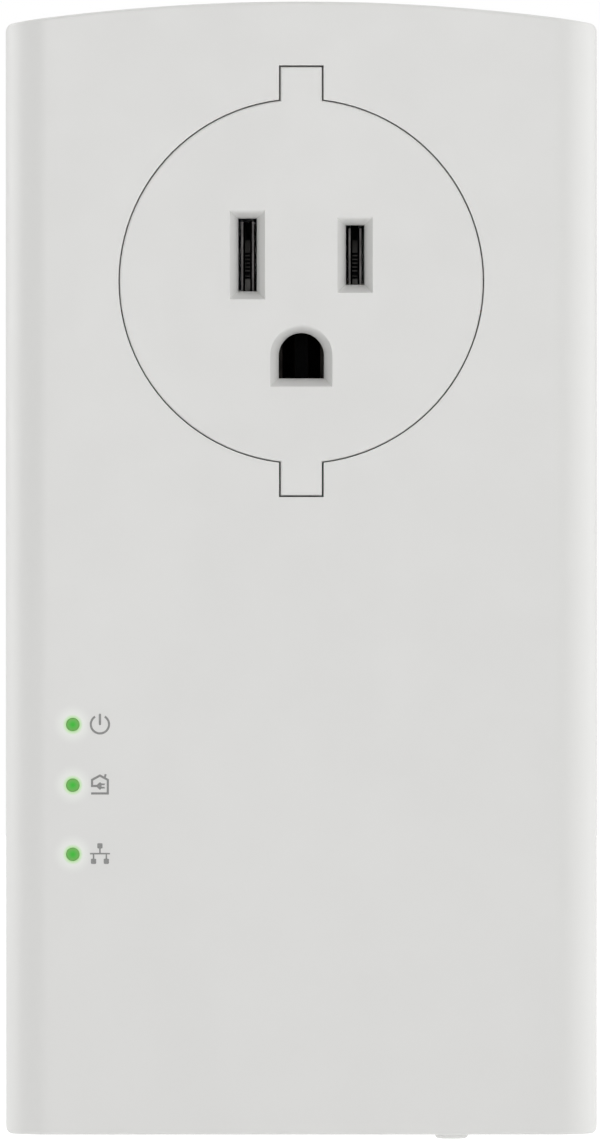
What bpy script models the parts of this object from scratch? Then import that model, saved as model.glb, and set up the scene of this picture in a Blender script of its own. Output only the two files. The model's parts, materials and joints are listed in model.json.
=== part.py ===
"""Wall-plug powerline adapter with a pass-through outlet, modelled as its separate parts.

Every dimension below is in millimetres, and every mesh is written in metres. Seen from the
front, +X is right and +Z is up, and the front faces -Y. The origin is on the back face of the
plug base, midway between the two blades, so the blades point along +Y.
"""

import math

import bmesh
import bpy
from mathutils import Vector

MM = 0.001

# Fits between pieces
GAP = 0.3  # clearance between two pieces that rest on each other
SEAM = 0.2  # visible joint round the outlet insert
PIPE_GAP = 0.1  # clearance round each light pipe tip

# Body
HALF_WIDTH = 35.0
FRONT_Y = -42.0
BACK_Y = -1.0
BOTTOM_Z = -103.8
TOP_Z = 29.9  # at the middle of the curved top
TOP_RADIUS = 238.6
WALL = 2.2
FRONT_CORNER = 5.2  # radius of the two long front edges, in plan
BACK_CORNER = 3.0
EDGE_ROUND = 0.8
FACE_ROUND = 0.4  # round between the front face and the top and bottom
SPLIT_Y = -14.0  # joint between the front and rear shells
LIP_REACH = 2.0  # how far the rear shell's lip goes into the front shell
INNER_FRONT_Y = FRONT_Y + WALL
INNER_BACK_Y = BACK_Y - WALL
INNER_BOTTOM_Z = BOTTOM_Z + WALL

# Outlet, to the standard for a 15 A grounded receptacle
BLADE_X = 6.35  # half of the 12.7 mm blade spacing
OUTLET_Z = -3.1  # centre of the round insert, below the blade line
OUTLET_RADIUS = 21.44
OUTLET_TAB_HALF = 2.45
OUTLET_TAB_REACH = 25.28
SLOT_WIDTH = 2.19
NEUTRAL_SLOT = 8.51
HOT_SLOT = 6.95
SLOT_CHAMFER = 1.0
CHAMFER_DEPTH = 1.9
GROUND_Z = -11.89
GROUND_RADIUS = 2.67
GROUND_DROP = 2.65  # from the arc's centre to the flat bottom of the hole
SKIN_BACK_Y = FRONT_Y + 2.8
TOWER_BACK_Y = -26.0
EAR_Y = (-36.5, -34.7)
EAR_REACH = 29.2
TOWER_HALF_WIDTH = 3.4
TOWER_HOLLOW_HALF = 2.0

# Plug, to the standard for a 15 A grounded plug
PLUG_RADIUS = 18.5
PLUG_FLANGE_RADIUS = 21.0
PLUG_FLANGE_Y = INNER_BACK_Y - GAP
PLUG_FRONT_Y = -6.0
BLADE_THICK = 1.5
BLADE_WIDE = 6.35
BLADE_LENGTH = 17.8
BLADE_HOLE_Y = 11.7
BLADE_HOLE_RADIUS = 1.6
PIN_RADIUS = 2.4
PIN_LENGTH = 21.0
BLADE_INNER_Y = -10.5
SHOULDER_Y = -2.1  # where each blade steps down from the wider part held in the plug base
SHOULDER_THICK = 1.7
SHOULDER_WIDE = 7.2

# Boards
BOARD_THICK = 1.6
POWER_BOARD_Y = -7.3  # back face
POWER_FACE_Y = POWER_BOARD_Y - BOARD_THICK
POWER_BOARD_Z = (-76.0, 17.0)
LOGIC_BOARD_Y = -30.8  # back face
LOGIC_FACE_Y = LOGIC_BOARD_Y - BOARD_THICK
LOGIC_BOARD_Z = (-99.3, -36.0)
BOARD_HALF_WIDTH = 31.0
SHEET_Y = (-6.8, -6.4)
ON_POWER_Y = POWER_FACE_Y - GAP  # where a component on the power board starts
BEHIND_LOGIC_Y = LOGIC_BOARD_Y + GAP  # where a component behind the logic board starts
BEFORE_LOGIC_Y = LOGIC_FACE_Y - GAP  # where a component before the logic board starts

# Screws, as left and right (x, z) positions
SHELL_SCREWS = [(side * 28.2, z) for z in (21.5, -96.0) for side in (-1, 1)]
POWER_SCREWS = [(side * 27.0, -70.0) for side in (-1, 1)]
LOGIC_SCREWS = [(side * 27.5, -41.0) for side in (-1, 1)]
OUTLET_SCREWS = [(side * 26.0, OUTLET_Z) for side in (-1, 1)]
BOSS_ROOT_Y = FRONT_Y + 1.2  # each boss starts inside the front wall
BOSS_RADIUS = 3.25
BOSS_BACK_Y = -12.0
SHELL_PILOT_RADIUS = 1.3
SMALL_BOSS_RADIUS = 2.8
SMALL_PILOT_RADIUS = 1.05
BOARD_HOLE_RADIUS = 1.4
TUBE_RADIUS = 3.9
TUBE_FRONT_Y = -11.7
TUBE_BORE_RADIUS = 2.9  # room for a screw head
SHANK_HOLE_RADIUS = 1.5
SCREW_SEAT_Y = -9.5

# Network port, an 8-way modular jack whose mouth faces down
PORT_X = -7.0
PORT_HALF_WIDTH = 8.1
PORT_BACK_Y = -16.9
PORT_MOUTH_Z = -103.4
PORT_TOP_Z = -82.4
PORT_SKIN = 0.4
PORT_HOLE_HALF = 5.9
PORT_HOLE_Y = (-28.7, -20.4)
PORT_STOP_Z = -89.0
CONTACT_PITCH = 1.27

# Vents in the rear shell
VENT_PITCH = 4.5
VENT_HALF_WIDTH = 0.8
SIDE_VENTS, SIDE_VENT_Y, SIDE_VENT_MIDDLE_Z = 14, (-12.0, -5.0), -44.0
END_VENTS, END_VENT_Y = 9, (-11.5, -5.0)
LABEL_AREA = (-22.0, 22.0, -88.0, -38.0)  # shallow recess where a rating label goes
LABEL_DEPTH = 0.25

# Buttons on the bottom face
BUTTON_Y = -28.3
SYNC_X = 17.9
RESET_X = 9.5
BUTTON_RADIUS = 2.0
BUTTON_TIP_Z = -104.95
BUTTON_HOLE_RADIUS = 2.25
RESET_HOLE_RADIUS = 0.85
PLUNGER_TIP_Z = -99.2
PLUNGER_TOP_Z = -96.3
PLUNGER_RADIUS = 1.15
SWITCH_Z = (-97.9, -94.4)

# Indicator lights
LIGHT_X = -26.96
LIGHT_Z = {"power": -55.4, "powerline": -62.55, "network": -70.7}
LIGHT_RADIUS = 0.78

# Colours
WHITE = (0.71, 0.71, 0.70)
BLACK = (0.02, 0.02, 0.02)
GREEN_BOARD = (0.02, 0.16, 0.07)
FERRITE = (0.05, 0.05, 0.055)
COPPER = (0.72, 0.32, 0.16)
BRASS = (0.78, 0.60, 0.30)
NICKEL = (0.68, 0.67, 0.64)
STEEL = (0.55, 0.56, 0.58)


# ---- Outlines, as lists of (u, v) points ----


def arc(centre, radius, start, end, steps):
    """Points along an arc, angles in degrees, both ends included."""
    angles = [math.radians(start + (end - start) * i / steps) for i in range(steps + 1)]
    return [(centre[0] + radius * math.cos(a), centre[1] + radius * math.sin(a)) for a in angles]


def circle(centre, radius, steps):
    """A regular polygon, turned half a step so that no corner lies on the centre planes."""
    return arc(centre, radius, 180 / steps, 360 + 180 / steps, steps)[:-1]


def rectangle(low_u, high_u, low_v, high_v):
    return [(low_u, low_v), (high_u, low_v), (high_u, high_v), (low_u, high_v)]


def rounded_rectangle(low_u, high_u, low_v, high_v, radius, steps=4):
    corners = [(high_u, low_v, -90), (high_u, high_v, 0), (low_u, high_v, 90), (low_u, low_v, 180)]
    points = []
    for u, v, start in corners:
        centre_u = u - radius if u == high_u else u + radius
        centre_v = v - radius if v == high_v else v + radius
        points += arc((centre_u, centre_v), radius, start, start + 90, steps)
    return points


def keyed_circle(centre, radius, tab_half, tab_reach, steps=14):
    """A circle with one square tab at its top and one at its bottom."""
    half_angle = math.degrees(math.asin(tab_half / radius))
    u, v = centre
    right = arc(centre, radius, -90 + half_angle, 90 - half_angle, steps)
    left = arc(centre, radius, 90 + half_angle, 270 - half_angle, steps)
    top = [(u + tab_half, v + tab_reach), (u - tab_half, v + tab_reach)]
    bottom = [(u - tab_half, v - tab_reach), (u + tab_half, v - tab_reach)]
    return right + top + left + bottom


def ground_outline(grow=0.0, steps=10):
    """The grounding hole: a half circle on a rectangle, as (x, z)."""
    radius = GROUND_RADIUS + grow
    bottom = GROUND_Z - GROUND_DROP - grow
    return arc((0, GROUND_Z), radius, 0, 180, steps) + [(-radius, bottom), (radius, bottom)]


def slot_outline(x, height, grow=0.0):
    half = SLOT_WIDTH / 2 + grow
    return rectangle(x - half, x + half, -height / 2 - grow, height / 2 + grow)


# ---- Solids, as bmeshes in millimetres ----


def ring(axis, outline, depth):
    """Places a flat outline across an axis, at that depth."""
    if axis == "X":
        return [(depth, u, v) for u, v in outline]
    if axis == "Y":
        return [(u, depth, v) for u, v in outline]
    return [(u, v, depth) for u, v in outline]


def loft(rings):
    """Joins rings that have the same number of points, and closes both ends."""
    mesh = bmesh.new()
    loops = [[mesh.verts.new(point) for point in points] for points in rings]
    for lower, upper in zip(loops, loops[1:]):
        for i, vert in enumerate(lower):
            mesh.faces.new((lower[i - 1], vert, upper[i], upper[i - 1]))
    mesh.faces.new(loops[0])
    mesh.faces.new(loops[-1])
    bmesh.ops.recalc_face_normals(mesh, faces=mesh.faces)
    return mesh


def prism(axis, outline, start, end):
    return loft([ring(axis, outline, start), ring(axis, outline, end)])


def box(x, y, z):
    """A box from its (low, high) pair on each axis."""
    return prism("Z", rectangle(*x, *y), *z)


def cylinder(axis, centre, radius, start, end, steps=16):
    return prism(axis, circle(centre, radius, steps), start, end)


def turned(axis, centre, profile, steps=20):
    """A solid of revolution: profile holds (radius, depth) pairs from end to end."""
    return loft([ring(axis, circle(centre, radius, steps), depth) for radius, depth in profile])


def together(*meshes):
    """Puts several bmeshes into one, as separate bodies."""
    result = bmesh.new()
    for mesh in meshes:
        data = bpy.data.meshes.new("part_of_group")
        mesh.to_mesh(data)
        mesh.free()
        result.from_mesh(data)
        bpy.data.meshes.remove(data)
    return result


def body_block(inset, y_start, y_end, front_edge, back_edge):
    """The adapter's outer form, shrunk by inset and kept between two depths.

    It is lofted along X through upright rings, whose front and back corners are rounded.
    """
    half_width = HALF_WIDTH - inset
    front_radius = FRONT_CORNER - inset
    back_radius = max(BACK_CORNER - inset, 0.5)
    top_radius = TOP_RADIUS - inset
    turn_in = max(EDGE_ROUND - inset, 0.3)

    def drop(x, radius):
        """How far a corner of that radius has turned away at x."""
        past = max(abs(x) - (half_width - radius), 0.0)
        return radius - math.sqrt(max(radius**2 - past**2, 0.0))

    turns = [math.radians(90 - 15 * i) for i in range(7)]
    corner_x = [half_width - front_radius * (1 - math.sin(turn)) for turn in turns]
    flat_x = [corner_x[-1] * (1 - 2 * i / 8) for i in range(1, 8)]
    stations = corner_x + flat_x + [-x for x in reversed(corner_x)]

    rings = []
    for x in stations:
        front = max(FRONT_Y + inset + drop(x, front_radius), y_start)
        back = min(BACK_Y - inset - drop(x, back_radius), y_end)
        low = BOTTOM_Z + inset + drop(x, turn_in)
        high = TOP_Z - inset - (top_radius - math.sqrt(top_radius**2 - x**2)) - drop(x, turn_in)
        outline = arc((front + front_edge, low + front_edge), front_edge, 180, 270, 2)
        outline += arc((back - back_edge, low + back_edge), back_edge, 270, 360, 2)
        outline += arc((back - back_edge, high - back_edge), back_edge, 0, 90, 2)
        outline += arc((front + front_edge, high - front_edge), front_edge, 90, 180, 2)
        rings.append(ring("X", outline, x))
    return loft(rings)


def bent_tube(centre, inner, outer, depth, wall, start, end, steps):
    """A winding: a hollow rectangular section swept round a ring core, angles in degrees."""
    mesh = bmesh.new()
    outside = rectangle(inner, outer, *depth)
    inside = rectangle(inner + wall, outer - wall, depth[0] + wall, depth[1] - wall)
    loops = []
    for i in range(steps + 1):
        angle = math.radians(start + (end - start) * i / steps)
        across, up = math.cos(angle), math.sin(angle)
        section = [(centre[0] + r * across, y, centre[1] + r * up) for r, y in outside + inside]
        loops.append([mesh.verts.new(point) for point in section])
    for lower, upper in zip(loops, loops[1:]):
        for k in range(4):
            n = (k + 1) % 4
            mesh.faces.new((lower[k], lower[n], upper[n], upper[k]))
            mesh.faces.new((lower[4 + k], lower[4 + n], upper[4 + n], upper[4 + k]))
    for end_loop in (loops[0], loops[-1]):
        for k in range(4):
            n = (k + 1) % 4
            mesh.faces.new((end_loop[k], end_loop[n], end_loop[4 + n], end_loop[4 + k]))
    bmesh.ops.recalc_face_normals(mesh, faces=mesh.faces)
    return mesh


# ---- Objects ----


def finish(name, colour, roughness, metallic=0.0, alpha=1.0, glow=0.0):
    """Gives a node its own Principled material."""
    material = bpy.data.materials.new(name)
    material.use_nodes = True
    shader = material.node_tree.nodes["Principled BSDF"]
    shader.inputs["Base Color"].default_value = (*colour, 1.0)
    shader.inputs["Roughness"].default_value = roughness
    shader.inputs["Metallic"].default_value = metallic
    shader.inputs["Alpha"].default_value = alpha
    shader.inputs["Emission Color"].default_value = (*colour, 1.0)
    shader.inputs["Emission Strength"].default_value = glow
    material.diffuse_color = (*colour, alpha)
    return material


def place(name, mesh, pivot=(0.0, 0.0, 0.0)):
    """Makes an object from a bmesh, with its origin at the pivot, and frees the bmesh."""
    bmesh.ops.translate(mesh, verts=mesh.verts, vec=-Vector(pivot))
    bmesh.ops.scale(mesh, verts=mesh.verts, vec=(MM, MM, MM))
    data = bpy.data.meshes.new(name)
    mesh.to_mesh(data)
    mesh.free()
    obj = bpy.data.objects.new(name, data)
    obj.location = Vector(pivot) * MM
    bpy.context.scene.collection.objects.link(obj)
    return obj


def node(name, mesh, material, pivot=(0.0, 0.0, 0.0)):
    obj = place(name, mesh, pivot)
    obj.data.materials.append(material)
    return obj


def combine(target, operation, mesh):
    """Adds a Boolean with a hidden helper made from a bmesh. Every target here has its origin at zero."""
    helper = place(target.name + "_helper", mesh)
    helper.hide_render = True
    helper.display_type = "WIRE"
    modifier = target.modifiers.new(operation.title(), "BOOLEAN")
    modifier.operation = operation
    modifier.solver = "EXACT"
    modifier.object = helper


def cut(target, *meshes):
    combine(target, "DIFFERENCE", together(*meshes))


def fuse(target, *meshes):
    """Joins solids to the target. They don't touch each other."""
    combine(target, "UNION", together(*meshes))


def soften(target, width, segments=1):
    """Breaks the sharp edges of a simple moulded body."""
    modifier = target.modifiers.new("Bevel", "BEVEL")
    modifier.width = width * MM
    modifier.segments = segments
    modifier.limit_method = "ANGLE"
    modifier.angle_limit = math.radians(50)


def posts(places, radius, start, end, steps=16):
    """One cylinder along Y at each (x, z) place."""
    return [cylinder("Y", place, radius, start, end, steps) for place in places]


# ---- Shells ----


def vent_row(count, middle, make):
    """Cutters for evenly spaced vents; make((low, high)) gives one."""
    first = middle - VENT_PITCH * (count - 1) / 2
    middles = [first + VENT_PITCH * i for i in range(count)]
    return [make((place - VENT_HALF_WIDTH, place + VENT_HALF_WIDTH)) for place in middles]


def make_front_shell():
    edge = SPLIT_Y - GAP / 2
    outside = body_block(0, FRONT_Y, edge, FACE_ROUND, 0.15)
    shell = node("front_shell", outside, finish("front_shell", WHITE, 0.38))
    cut(shell, body_block(WALL, INNER_FRONT_Y, edge + 6, 0.6, 0.3))
    cut(shell, body_block(WALL / 2, SPLIT_Y - LIP_REACH - GAP, edge + 4, 0.2, 0.2))

    fuse(
        shell,
        *posts(SHELL_SCREWS, BOSS_RADIUS, BOSS_ROOT_Y, BOSS_BACK_Y),
        *posts(OUTLET_SCREWS, SMALL_BOSS_RADIUS, BOSS_ROOT_Y, EAR_Y[0] - GAP),
        *posts(LOGIC_SCREWS, SMALL_BOSS_RADIUS, BOSS_ROOT_Y, BEFORE_LOGIC_Y),
    )

    tab_half, tab_reach = OUTLET_TAB_HALF + SEAM, OUTLET_TAB_REACH + SEAM
    outlet = keyed_circle((0, OUTLET_Z), OUTLET_RADIUS + SEAM, tab_half, tab_reach)
    lights = [(LIGHT_X, z) for z in LIGHT_Z.values()]
    port_x = (PORT_X - PORT_HALF_WIDTH - GAP, PORT_X + PORT_HALF_WIDTH + GAP)
    through_floor = (BOTTOM_Z - 1, INNER_BOTTOM_Z + 1)
    cut(
        shell,
        prism("Y", outlet, FRONT_Y - 1, INNER_FRONT_Y + 1),
        box(port_x, (BEHIND_LOGIC_Y - GAP, PORT_BACK_Y + GAP), through_floor),
        cylinder("Z", (SYNC_X, BUTTON_Y), BUTTON_HOLE_RADIUS, *through_floor, 20),
        cylinder("Z", (RESET_X, BUTTON_Y), RESET_HOLE_RADIUS, *through_floor, 12),
        *posts(lights, LIGHT_RADIUS + PIPE_GAP, FRONT_Y - 1, INNER_FRONT_Y + 1),
        *posts(SHELL_SCREWS, SHELL_PILOT_RADIUS, -27.0, BOSS_BACK_Y + 1, 10),
        *posts(OUTLET_SCREWS, SMALL_PILOT_RADIUS, FRONT_Y + 1, EAR_Y[0] + 1, 10),
        *posts(LOGIC_SCREWS, SMALL_PILOT_RADIUS, -39.5, BEFORE_LOGIC_Y + 1, 10),
    )


def make_rear_shell():
    edge = SPLIT_Y + GAP / 2
    outside = body_block(0, edge, BACK_Y, 0.15, EDGE_ROUND)
    shell = node("rear_shell", outside, finish("rear_shell", WHITE, 0.45))
    fuse(shell, body_block(WALL / 2 + GAP, SPLIT_Y - LIP_REACH, edge + 3, 0.2, 0.2))
    cut(shell, body_block(WALL, edge - 6, INNER_BACK_Y, 0.3, 0.6))

    root = BACK_Y - 1.2
    fuse(
        shell,
        *posts(SHELL_SCREWS, TUBE_RADIUS, TUBE_FRONT_Y, root),
        *posts(POWER_SCREWS, SMALL_BOSS_RADIUS, POWER_BOARD_Y + GAP, root),
    )
    cut(
        shell,
        cylinder("Y", (0, OUTLET_Z), PLUG_RADIUS + GAP, INNER_BACK_Y - 1, BACK_Y + 1, 48),
        *posts(SHELL_SCREWS, TUBE_BORE_RADIUS, SCREW_SEAT_Y, BACK_Y + 1, 20),
        *posts(POWER_SCREWS, SMALL_PILOT_RADIUS, POWER_BOARD_Y - 1, INNER_BACK_Y - 0.2, 10),
    )
    cut(shell, *posts(SHELL_SCREWS, SHANK_HOLE_RADIUS, TUBE_FRONT_Y - 1, SCREW_SEAT_Y + 1, 12))

    right = (HALF_WIDTH - WALL - 1, HALF_WIDTH + 1)
    left = (-right[1], -right[0])
    top = (TOP_Z - WALL - 2, TOP_Z + 1)
    bottom = (BOTTOM_Z - 1, INNER_BOTTOM_Z + 1)
    cut(
        shell,
        prism("Y", rounded_rectangle(*LABEL_AREA, 1.5), BACK_Y - LABEL_DEPTH, BACK_Y + 1),
        *vent_row(SIDE_VENTS, SIDE_VENT_MIDDLE_Z, lambda z: box(right, SIDE_VENT_Y, z)),
        *vent_row(SIDE_VENTS, SIDE_VENT_MIDDLE_Z, lambda z: box(left, SIDE_VENT_Y, z)),
        *vent_row(END_VENTS, 0.0, lambda x: box(x, END_VENT_Y, top)),
        *vent_row(END_VENTS, 0.0, lambda x: box(x, END_VENT_Y, bottom)),
    )


# ---- Outlet ----


def chamfered_hole(outline, wide_outline):
    """A cutter for a straight hole through the outlet's skin, with a chamfer at its mouth."""
    extra = 0.5
    mouth = FRONT_Y - extra
    spread = [
        (w[0] + (w[0] - o[0]) * extra / CHAMFER_DEPTH, w[1] + (w[1] - o[1]) * extra / CHAMFER_DEPTH)
        for o, w in zip(outline, wide_outline)
    ]
    return loft(
        [
            ring("Y", spread, mouth),
            ring("Y", outline, FRONT_Y + CHAMFER_DEPTH),
            ring("Y", outline, SKIN_BACK_Y + 1),
        ]
    )


def make_outlet_insert():
    outline = keyed_circle((0, OUTLET_Z), OUTLET_RADIUS, OUTLET_TAB_HALF, OUTLET_TAB_REACH)
    plate = prism("Y", outline, FRONT_Y, EAR_Y[1])
    insert = node("outlet_insert", plate, finish("outlet_insert", WHITE, 0.38))
    fuse(insert, box((-EAR_REACH, EAR_REACH), (EAR_Y[0], EAR_Y[1] - 0.2), (OUTLET_Z - 3.2, OUTLET_Z + 3.2)))
    cut(insert, cylinder("Y", (0, OUTLET_Z), OUTLET_RADIUS - 1.8, SKIN_BACK_Y, EAR_Y[1] + 1, 32))

    # One square tower behind each slot, as x position, middle height and half height
    towers = ((-BLADE_X, 0.0, 6.3), (BLADE_X, 0.0, 5.5))
    solids, hollows = [], []
    for x, z, tall in towers:
        outer, inner, room = TOWER_HALF_WIDTH, TOWER_HOLLOW_HALF, tall - 1.4
        solids.append(box((x - outer, x + outer), (SKIN_BACK_Y - 0.8, TOWER_BACK_Y), (z - tall, z + tall)))
        hollows.append(box((x - inner, x + inner), (SKIN_BACK_Y, TOWER_BACK_Y + 1), (z - room, z + room)))
    outer, inner = 4.6, 3.3
    below = (GROUND_Z - outer, GROUND_Z + outer)
    solids.append(box((-outer, outer), (SKIN_BACK_Y - 0.8, TOWER_BACK_Y), below))
    below = (GROUND_Z - inner, GROUND_Z + inner)
    hollows.append(box((-inner, inner), (SKIN_BACK_Y, TOWER_BACK_Y + 1), below))
    fuse(insert, *solids)
    cut(insert, *hollows, *posts(OUTLET_SCREWS, 1.1, EAR_Y[0] - 1, EAR_Y[1] + 1, 12))

    slots = []
    for x, height in ((-BLADE_X, NEUTRAL_SLOT), (BLADE_X, HOT_SLOT)):
        slots.append(chamfered_hole(slot_outline(x, height), slot_outline(x, height, SLOT_CHAMFER)))
    cut(insert, *slots, chamfered_hole(ground_outline(), ground_outline(SLOT_CHAMFER)))


def make_outlet_back_cover():
    front, back = TOWER_BACK_Y + GAP, TOWER_BACK_Y + GAP + 2.0
    plate = prism("Y", rounded_rectangle(-13.0, 13.0, -18.5, 8.5, 2.0, 3), front, back)
    cover = node("outlet_back_cover", plate, finish("outlet_back_cover", WHITE, 0.5))
    for side in (-1, 1):
        hook = sorted((side * 10.2, side * 11.4))
        fuse(cover, box(hook, (front - 4.5, front + 1), (-3.0, 3.0)))
    through = (front - 1, back + 1)
    long_half, short_half = 2.3, 0.7
    cut(
        cover,
        box((-BLADE_X - short_half, -BLADE_X + short_half), through, (-long_half, long_half)),
        box((BLADE_X - short_half, BLADE_X + short_half), through, (-long_half, long_half)),
        box((-long_half, long_half), through, (GROUND_Z - short_half, GROUND_Z + short_half)),
    )


def make_outlet_contacts():
    """Each blade contact is a pair of leaves that narrow towards the middle, a web and a tail."""
    mouth_y, waist_y, web_y, tail_y = -38.7, -33.5, -28.0, -19.0
    for name, side, slot in (("neutral_contact", -1, NEUTRAL_SLOT), ("hot_contact", 1, HOT_SLOT)):
        half, thick, waist = 0.82, 0.3, 0.62
        tall = slot / 2 - 0.1
        leaves = [
            (-half, mouth_y), (-half + thick, mouth_y), (-waist + thick, waist_y), (-half + thick, web_y),
            (half - thick, web_y), (waist - thick, waist_y), (half - thick, mouth_y), (half, mouth_y),
            (waist, waist_y), (half, web_y + thick), (-half, web_y + thick), (-waist, waist_y),
        ]
        outline = [(side * BLADE_X + x, y) for x, y in leaves]
        contact = node(name, prism("Z", outline, -tall, tall), finish(name, BRASS, 0.3, 1.0))
        fuse(contact, box((side * BLADE_X - 0.4, side * BLADE_X + 0.4), (web_y + 0.1, tail_y), (-2.0, 2.0)))

    half, thick = 2.75, 0.5
    outline = [
        (-half, mouth_y), (-half + thick, mouth_y), (-half + thick, web_y), (half - thick, web_y),
        (half - thick, mouth_y), (half, mouth_y), (half, web_y + thick), (-half, web_y + thick),
    ]
    leaves = prism("Z", outline, GROUND_Z - 2.7, GROUND_Z + 2.7)
    contact = node("ground_contact", leaves, finish("ground_contact", BRASS, 0.3, 1.0))
    fuse(contact, box((-2.0, 2.0), (web_y + 0.1, BLADE_INNER_Y - GAP), (GROUND_Z - 0.4, GROUND_Z + 0.4)))


# ---- Plug ----


def blade_rings(x):
    """A flat blade with a shoulder inside the plug base and a tip that narrows on all four sides."""
    sections = (
        (BLADE_INNER_Y, SHOULDER_THICK, SHOULDER_WIDE),
        (SHOULDER_Y, SHOULDER_THICK, SHOULDER_WIDE),
        (SHOULDER_Y, BLADE_THICK, BLADE_WIDE),
        (BLADE_LENGTH - 2.2, BLADE_THICK, BLADE_WIDE),
        (BLADE_LENGTH - 0.9, BLADE_THICK - 0.3, BLADE_WIDE - 1.4),
        (BLADE_LENGTH, BLADE_THICK - 0.9, BLADE_WIDE - 2.8),
    )
    rings = []
    for y, thick, wide in sections:
        rings.append(ring("Y", rectangle(x - thick / 2, x + thick / 2, -wide / 2, wide / 2), y))
    return rings


def blade_holes(y_range, thick, wide, clearance):
    """One rectangular cutter round each blade."""
    half, tall = thick / 2 + clearance, wide / 2 + clearance
    return [box((side * BLADE_X - half, side * BLADE_X + half), y_range, (-tall, tall)) for side in (-1, 1)]


def make_plug():
    profile = [
        (PLUG_FLANGE_RADIUS, PLUG_FRONT_Y), (PLUG_FLANGE_RADIUS, PLUG_FLANGE_Y),
        (PLUG_RADIUS, PLUG_FLANGE_Y), (PLUG_RADIUS, -0.6),
        (PLUG_RADIUS - 0.2, -0.15), (PLUG_RADIUS - 0.6, 0.0),
    ]
    base = node("plug_base", turned("Y", (0, OUTLET_Z), profile, 48), finish("plug_base", WHITE, 0.5))
    pin_hole = cylinder("Y", (0, GROUND_Z), PIN_RADIUS + SEAM, PLUG_FRONT_Y - 1, 1, 24)
    shoulder_y = (PLUG_FRONT_Y - 1, SHOULDER_Y + GAP)
    cut(base, pin_hole, *blade_holes(shoulder_y, SHOULDER_THICK, SHOULDER_WIDE, GAP))
    cut(base, *blade_holes((SHOULDER_Y, 1), BLADE_THICK, BLADE_WIDE, SEAM))

    for name, side in (("neutral_blade", -1), ("hot_blade", 1)):
        blade = node(name, loft(blade_rings(side * BLADE_X)), finish(name, NICKEL, 0.28, 1.0))
        through = (side * BLADE_X - BLADE_THICK, side * BLADE_X + BLADE_THICK)
        cut(blade, cylinder("X", (BLADE_HOLE_Y, 0), BLADE_HOLE_RADIUS, *through, 14))

    profile = [(PIN_RADIUS, BLADE_INNER_Y), (PIN_RADIUS, PIN_LENGTH - PIN_RADIUS)]
    tip_steps = 5
    for i in range(1, tip_steps):
        angle = math.radians(90 * i / tip_steps)
        profile.append((PIN_RADIUS * math.cos(angle), PIN_LENGTH - PIN_RADIUS * (1 - math.sin(angle))))
    profile.append((0.4, PIN_LENGTH))
    node("ground_pin", turned("Y", (0, GROUND_Z), profile, 20), finish("ground_pin", NICKEL, 0.28, 1.0))


# ---- Boards and what is on them ----


def plug_clearances(y_range):
    """Cutters that let the blades and the ground pin through a thin sheet."""
    pin_hole = cylinder("Y", (0, GROUND_Z), PIN_RADIUS + 0.5, *y_range)
    return [pin_hole, *blade_holes(y_range, SHOULDER_THICK, SHOULDER_WIDE, 0.5)]


def make_board(name, low_z, high_z, face_y, back_y):
    outline = rounded_rectangle(-BOARD_HALF_WIDTH, BOARD_HALF_WIDTH, low_z, high_z, 1.5, 2)
    return node(name, prism("Y", outline, face_y, back_y), finish(name, GREEN_BOARD, 0.4))


def make_boards():
    power = make_board("power_board", *POWER_BOARD_Z, POWER_FACE_Y, POWER_BOARD_Y)
    through = (POWER_FACE_Y - 1, POWER_BOARD_Y + 1)
    cut(power, *plug_clearances(through), *posts(POWER_SCREWS, BOARD_HOLE_RADIUS, *through, 12))

    logic = make_board("logic_board", *LOGIC_BOARD_Z, LOGIC_FACE_Y, LOGIC_BOARD_Y)
    through = (LOGIC_FACE_Y - 1, LOGIC_BOARD_Y + 1)
    bosses = SHELL_SCREWS[2:]
    notches = posts(bosses, BOSS_RADIUS + 0.5, *through)
    cut(logic, *notches, *posts(LOGIC_SCREWS, BOARD_HOLE_RADIUS, *through, 12))
    corners = [
        box(sorted((x, math.copysign(BOARD_HALF_WIDTH + 9, x))), through, (BOTTOM_Z, z + BOSS_RADIUS + 0.4))
        for x, z in bosses
    ]
    cut(logic, *corners)

    sheet = prism("Y", rounded_rectangle(-30.0, 30.0, -75.0, 16.0, 1.0, 1), *SHEET_Y)
    sheet = node("insulating_sheet", sheet, finish("insulating_sheet", (0.80, 0.78, 0.70), 0.5))
    through = (SHEET_Y[0] - 1, SHEET_Y[1] + 1)
    cut(sheet, *plug_clearances(through), *posts(POWER_SCREWS, SMALL_BOSS_RADIUS + 0.5, *through, 14))


def make_board_header():
    """Two rows of long pins with a black body at each end."""
    pin_half = 0.32
    body_x, body_z = (-15.8, -0.2), (-72.6, -67.4)
    pins_x = [-8.0 + 2.54 * (i - 2.5) for i in range(6)]
    ends = [(BEHIND_LOGIC_Y, BEHIND_LOGIC_Y + 3.0), (ON_POWER_Y - 3.0, ON_POWER_Y)]
    header = node("board_header", box(body_x, ends[0], body_z), finish("board_header", BLACK, 0.5))
    pin_y = (ends[0][0] + 1, ends[1][1] - 1)
    fuse(
        header,
        *[
            box((x - pin_half, x + pin_half), pin_y, (z - pin_half, z + pin_half))
            for x in pins_x
            for z in (-71.27, -68.73)
        ],
    )
    fuse(header, box(body_x, ends[1], body_z))


def ring_core(name, centre, inner, outer, depth):
    core = node(name, cylinder("Y", centre, outer, *depth, 28), finish(name, FERRITE, 0.6))
    cut(core, cylinder("Y", centre, inner, depth[0] - 1, depth[1] + 1, 20))


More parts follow.
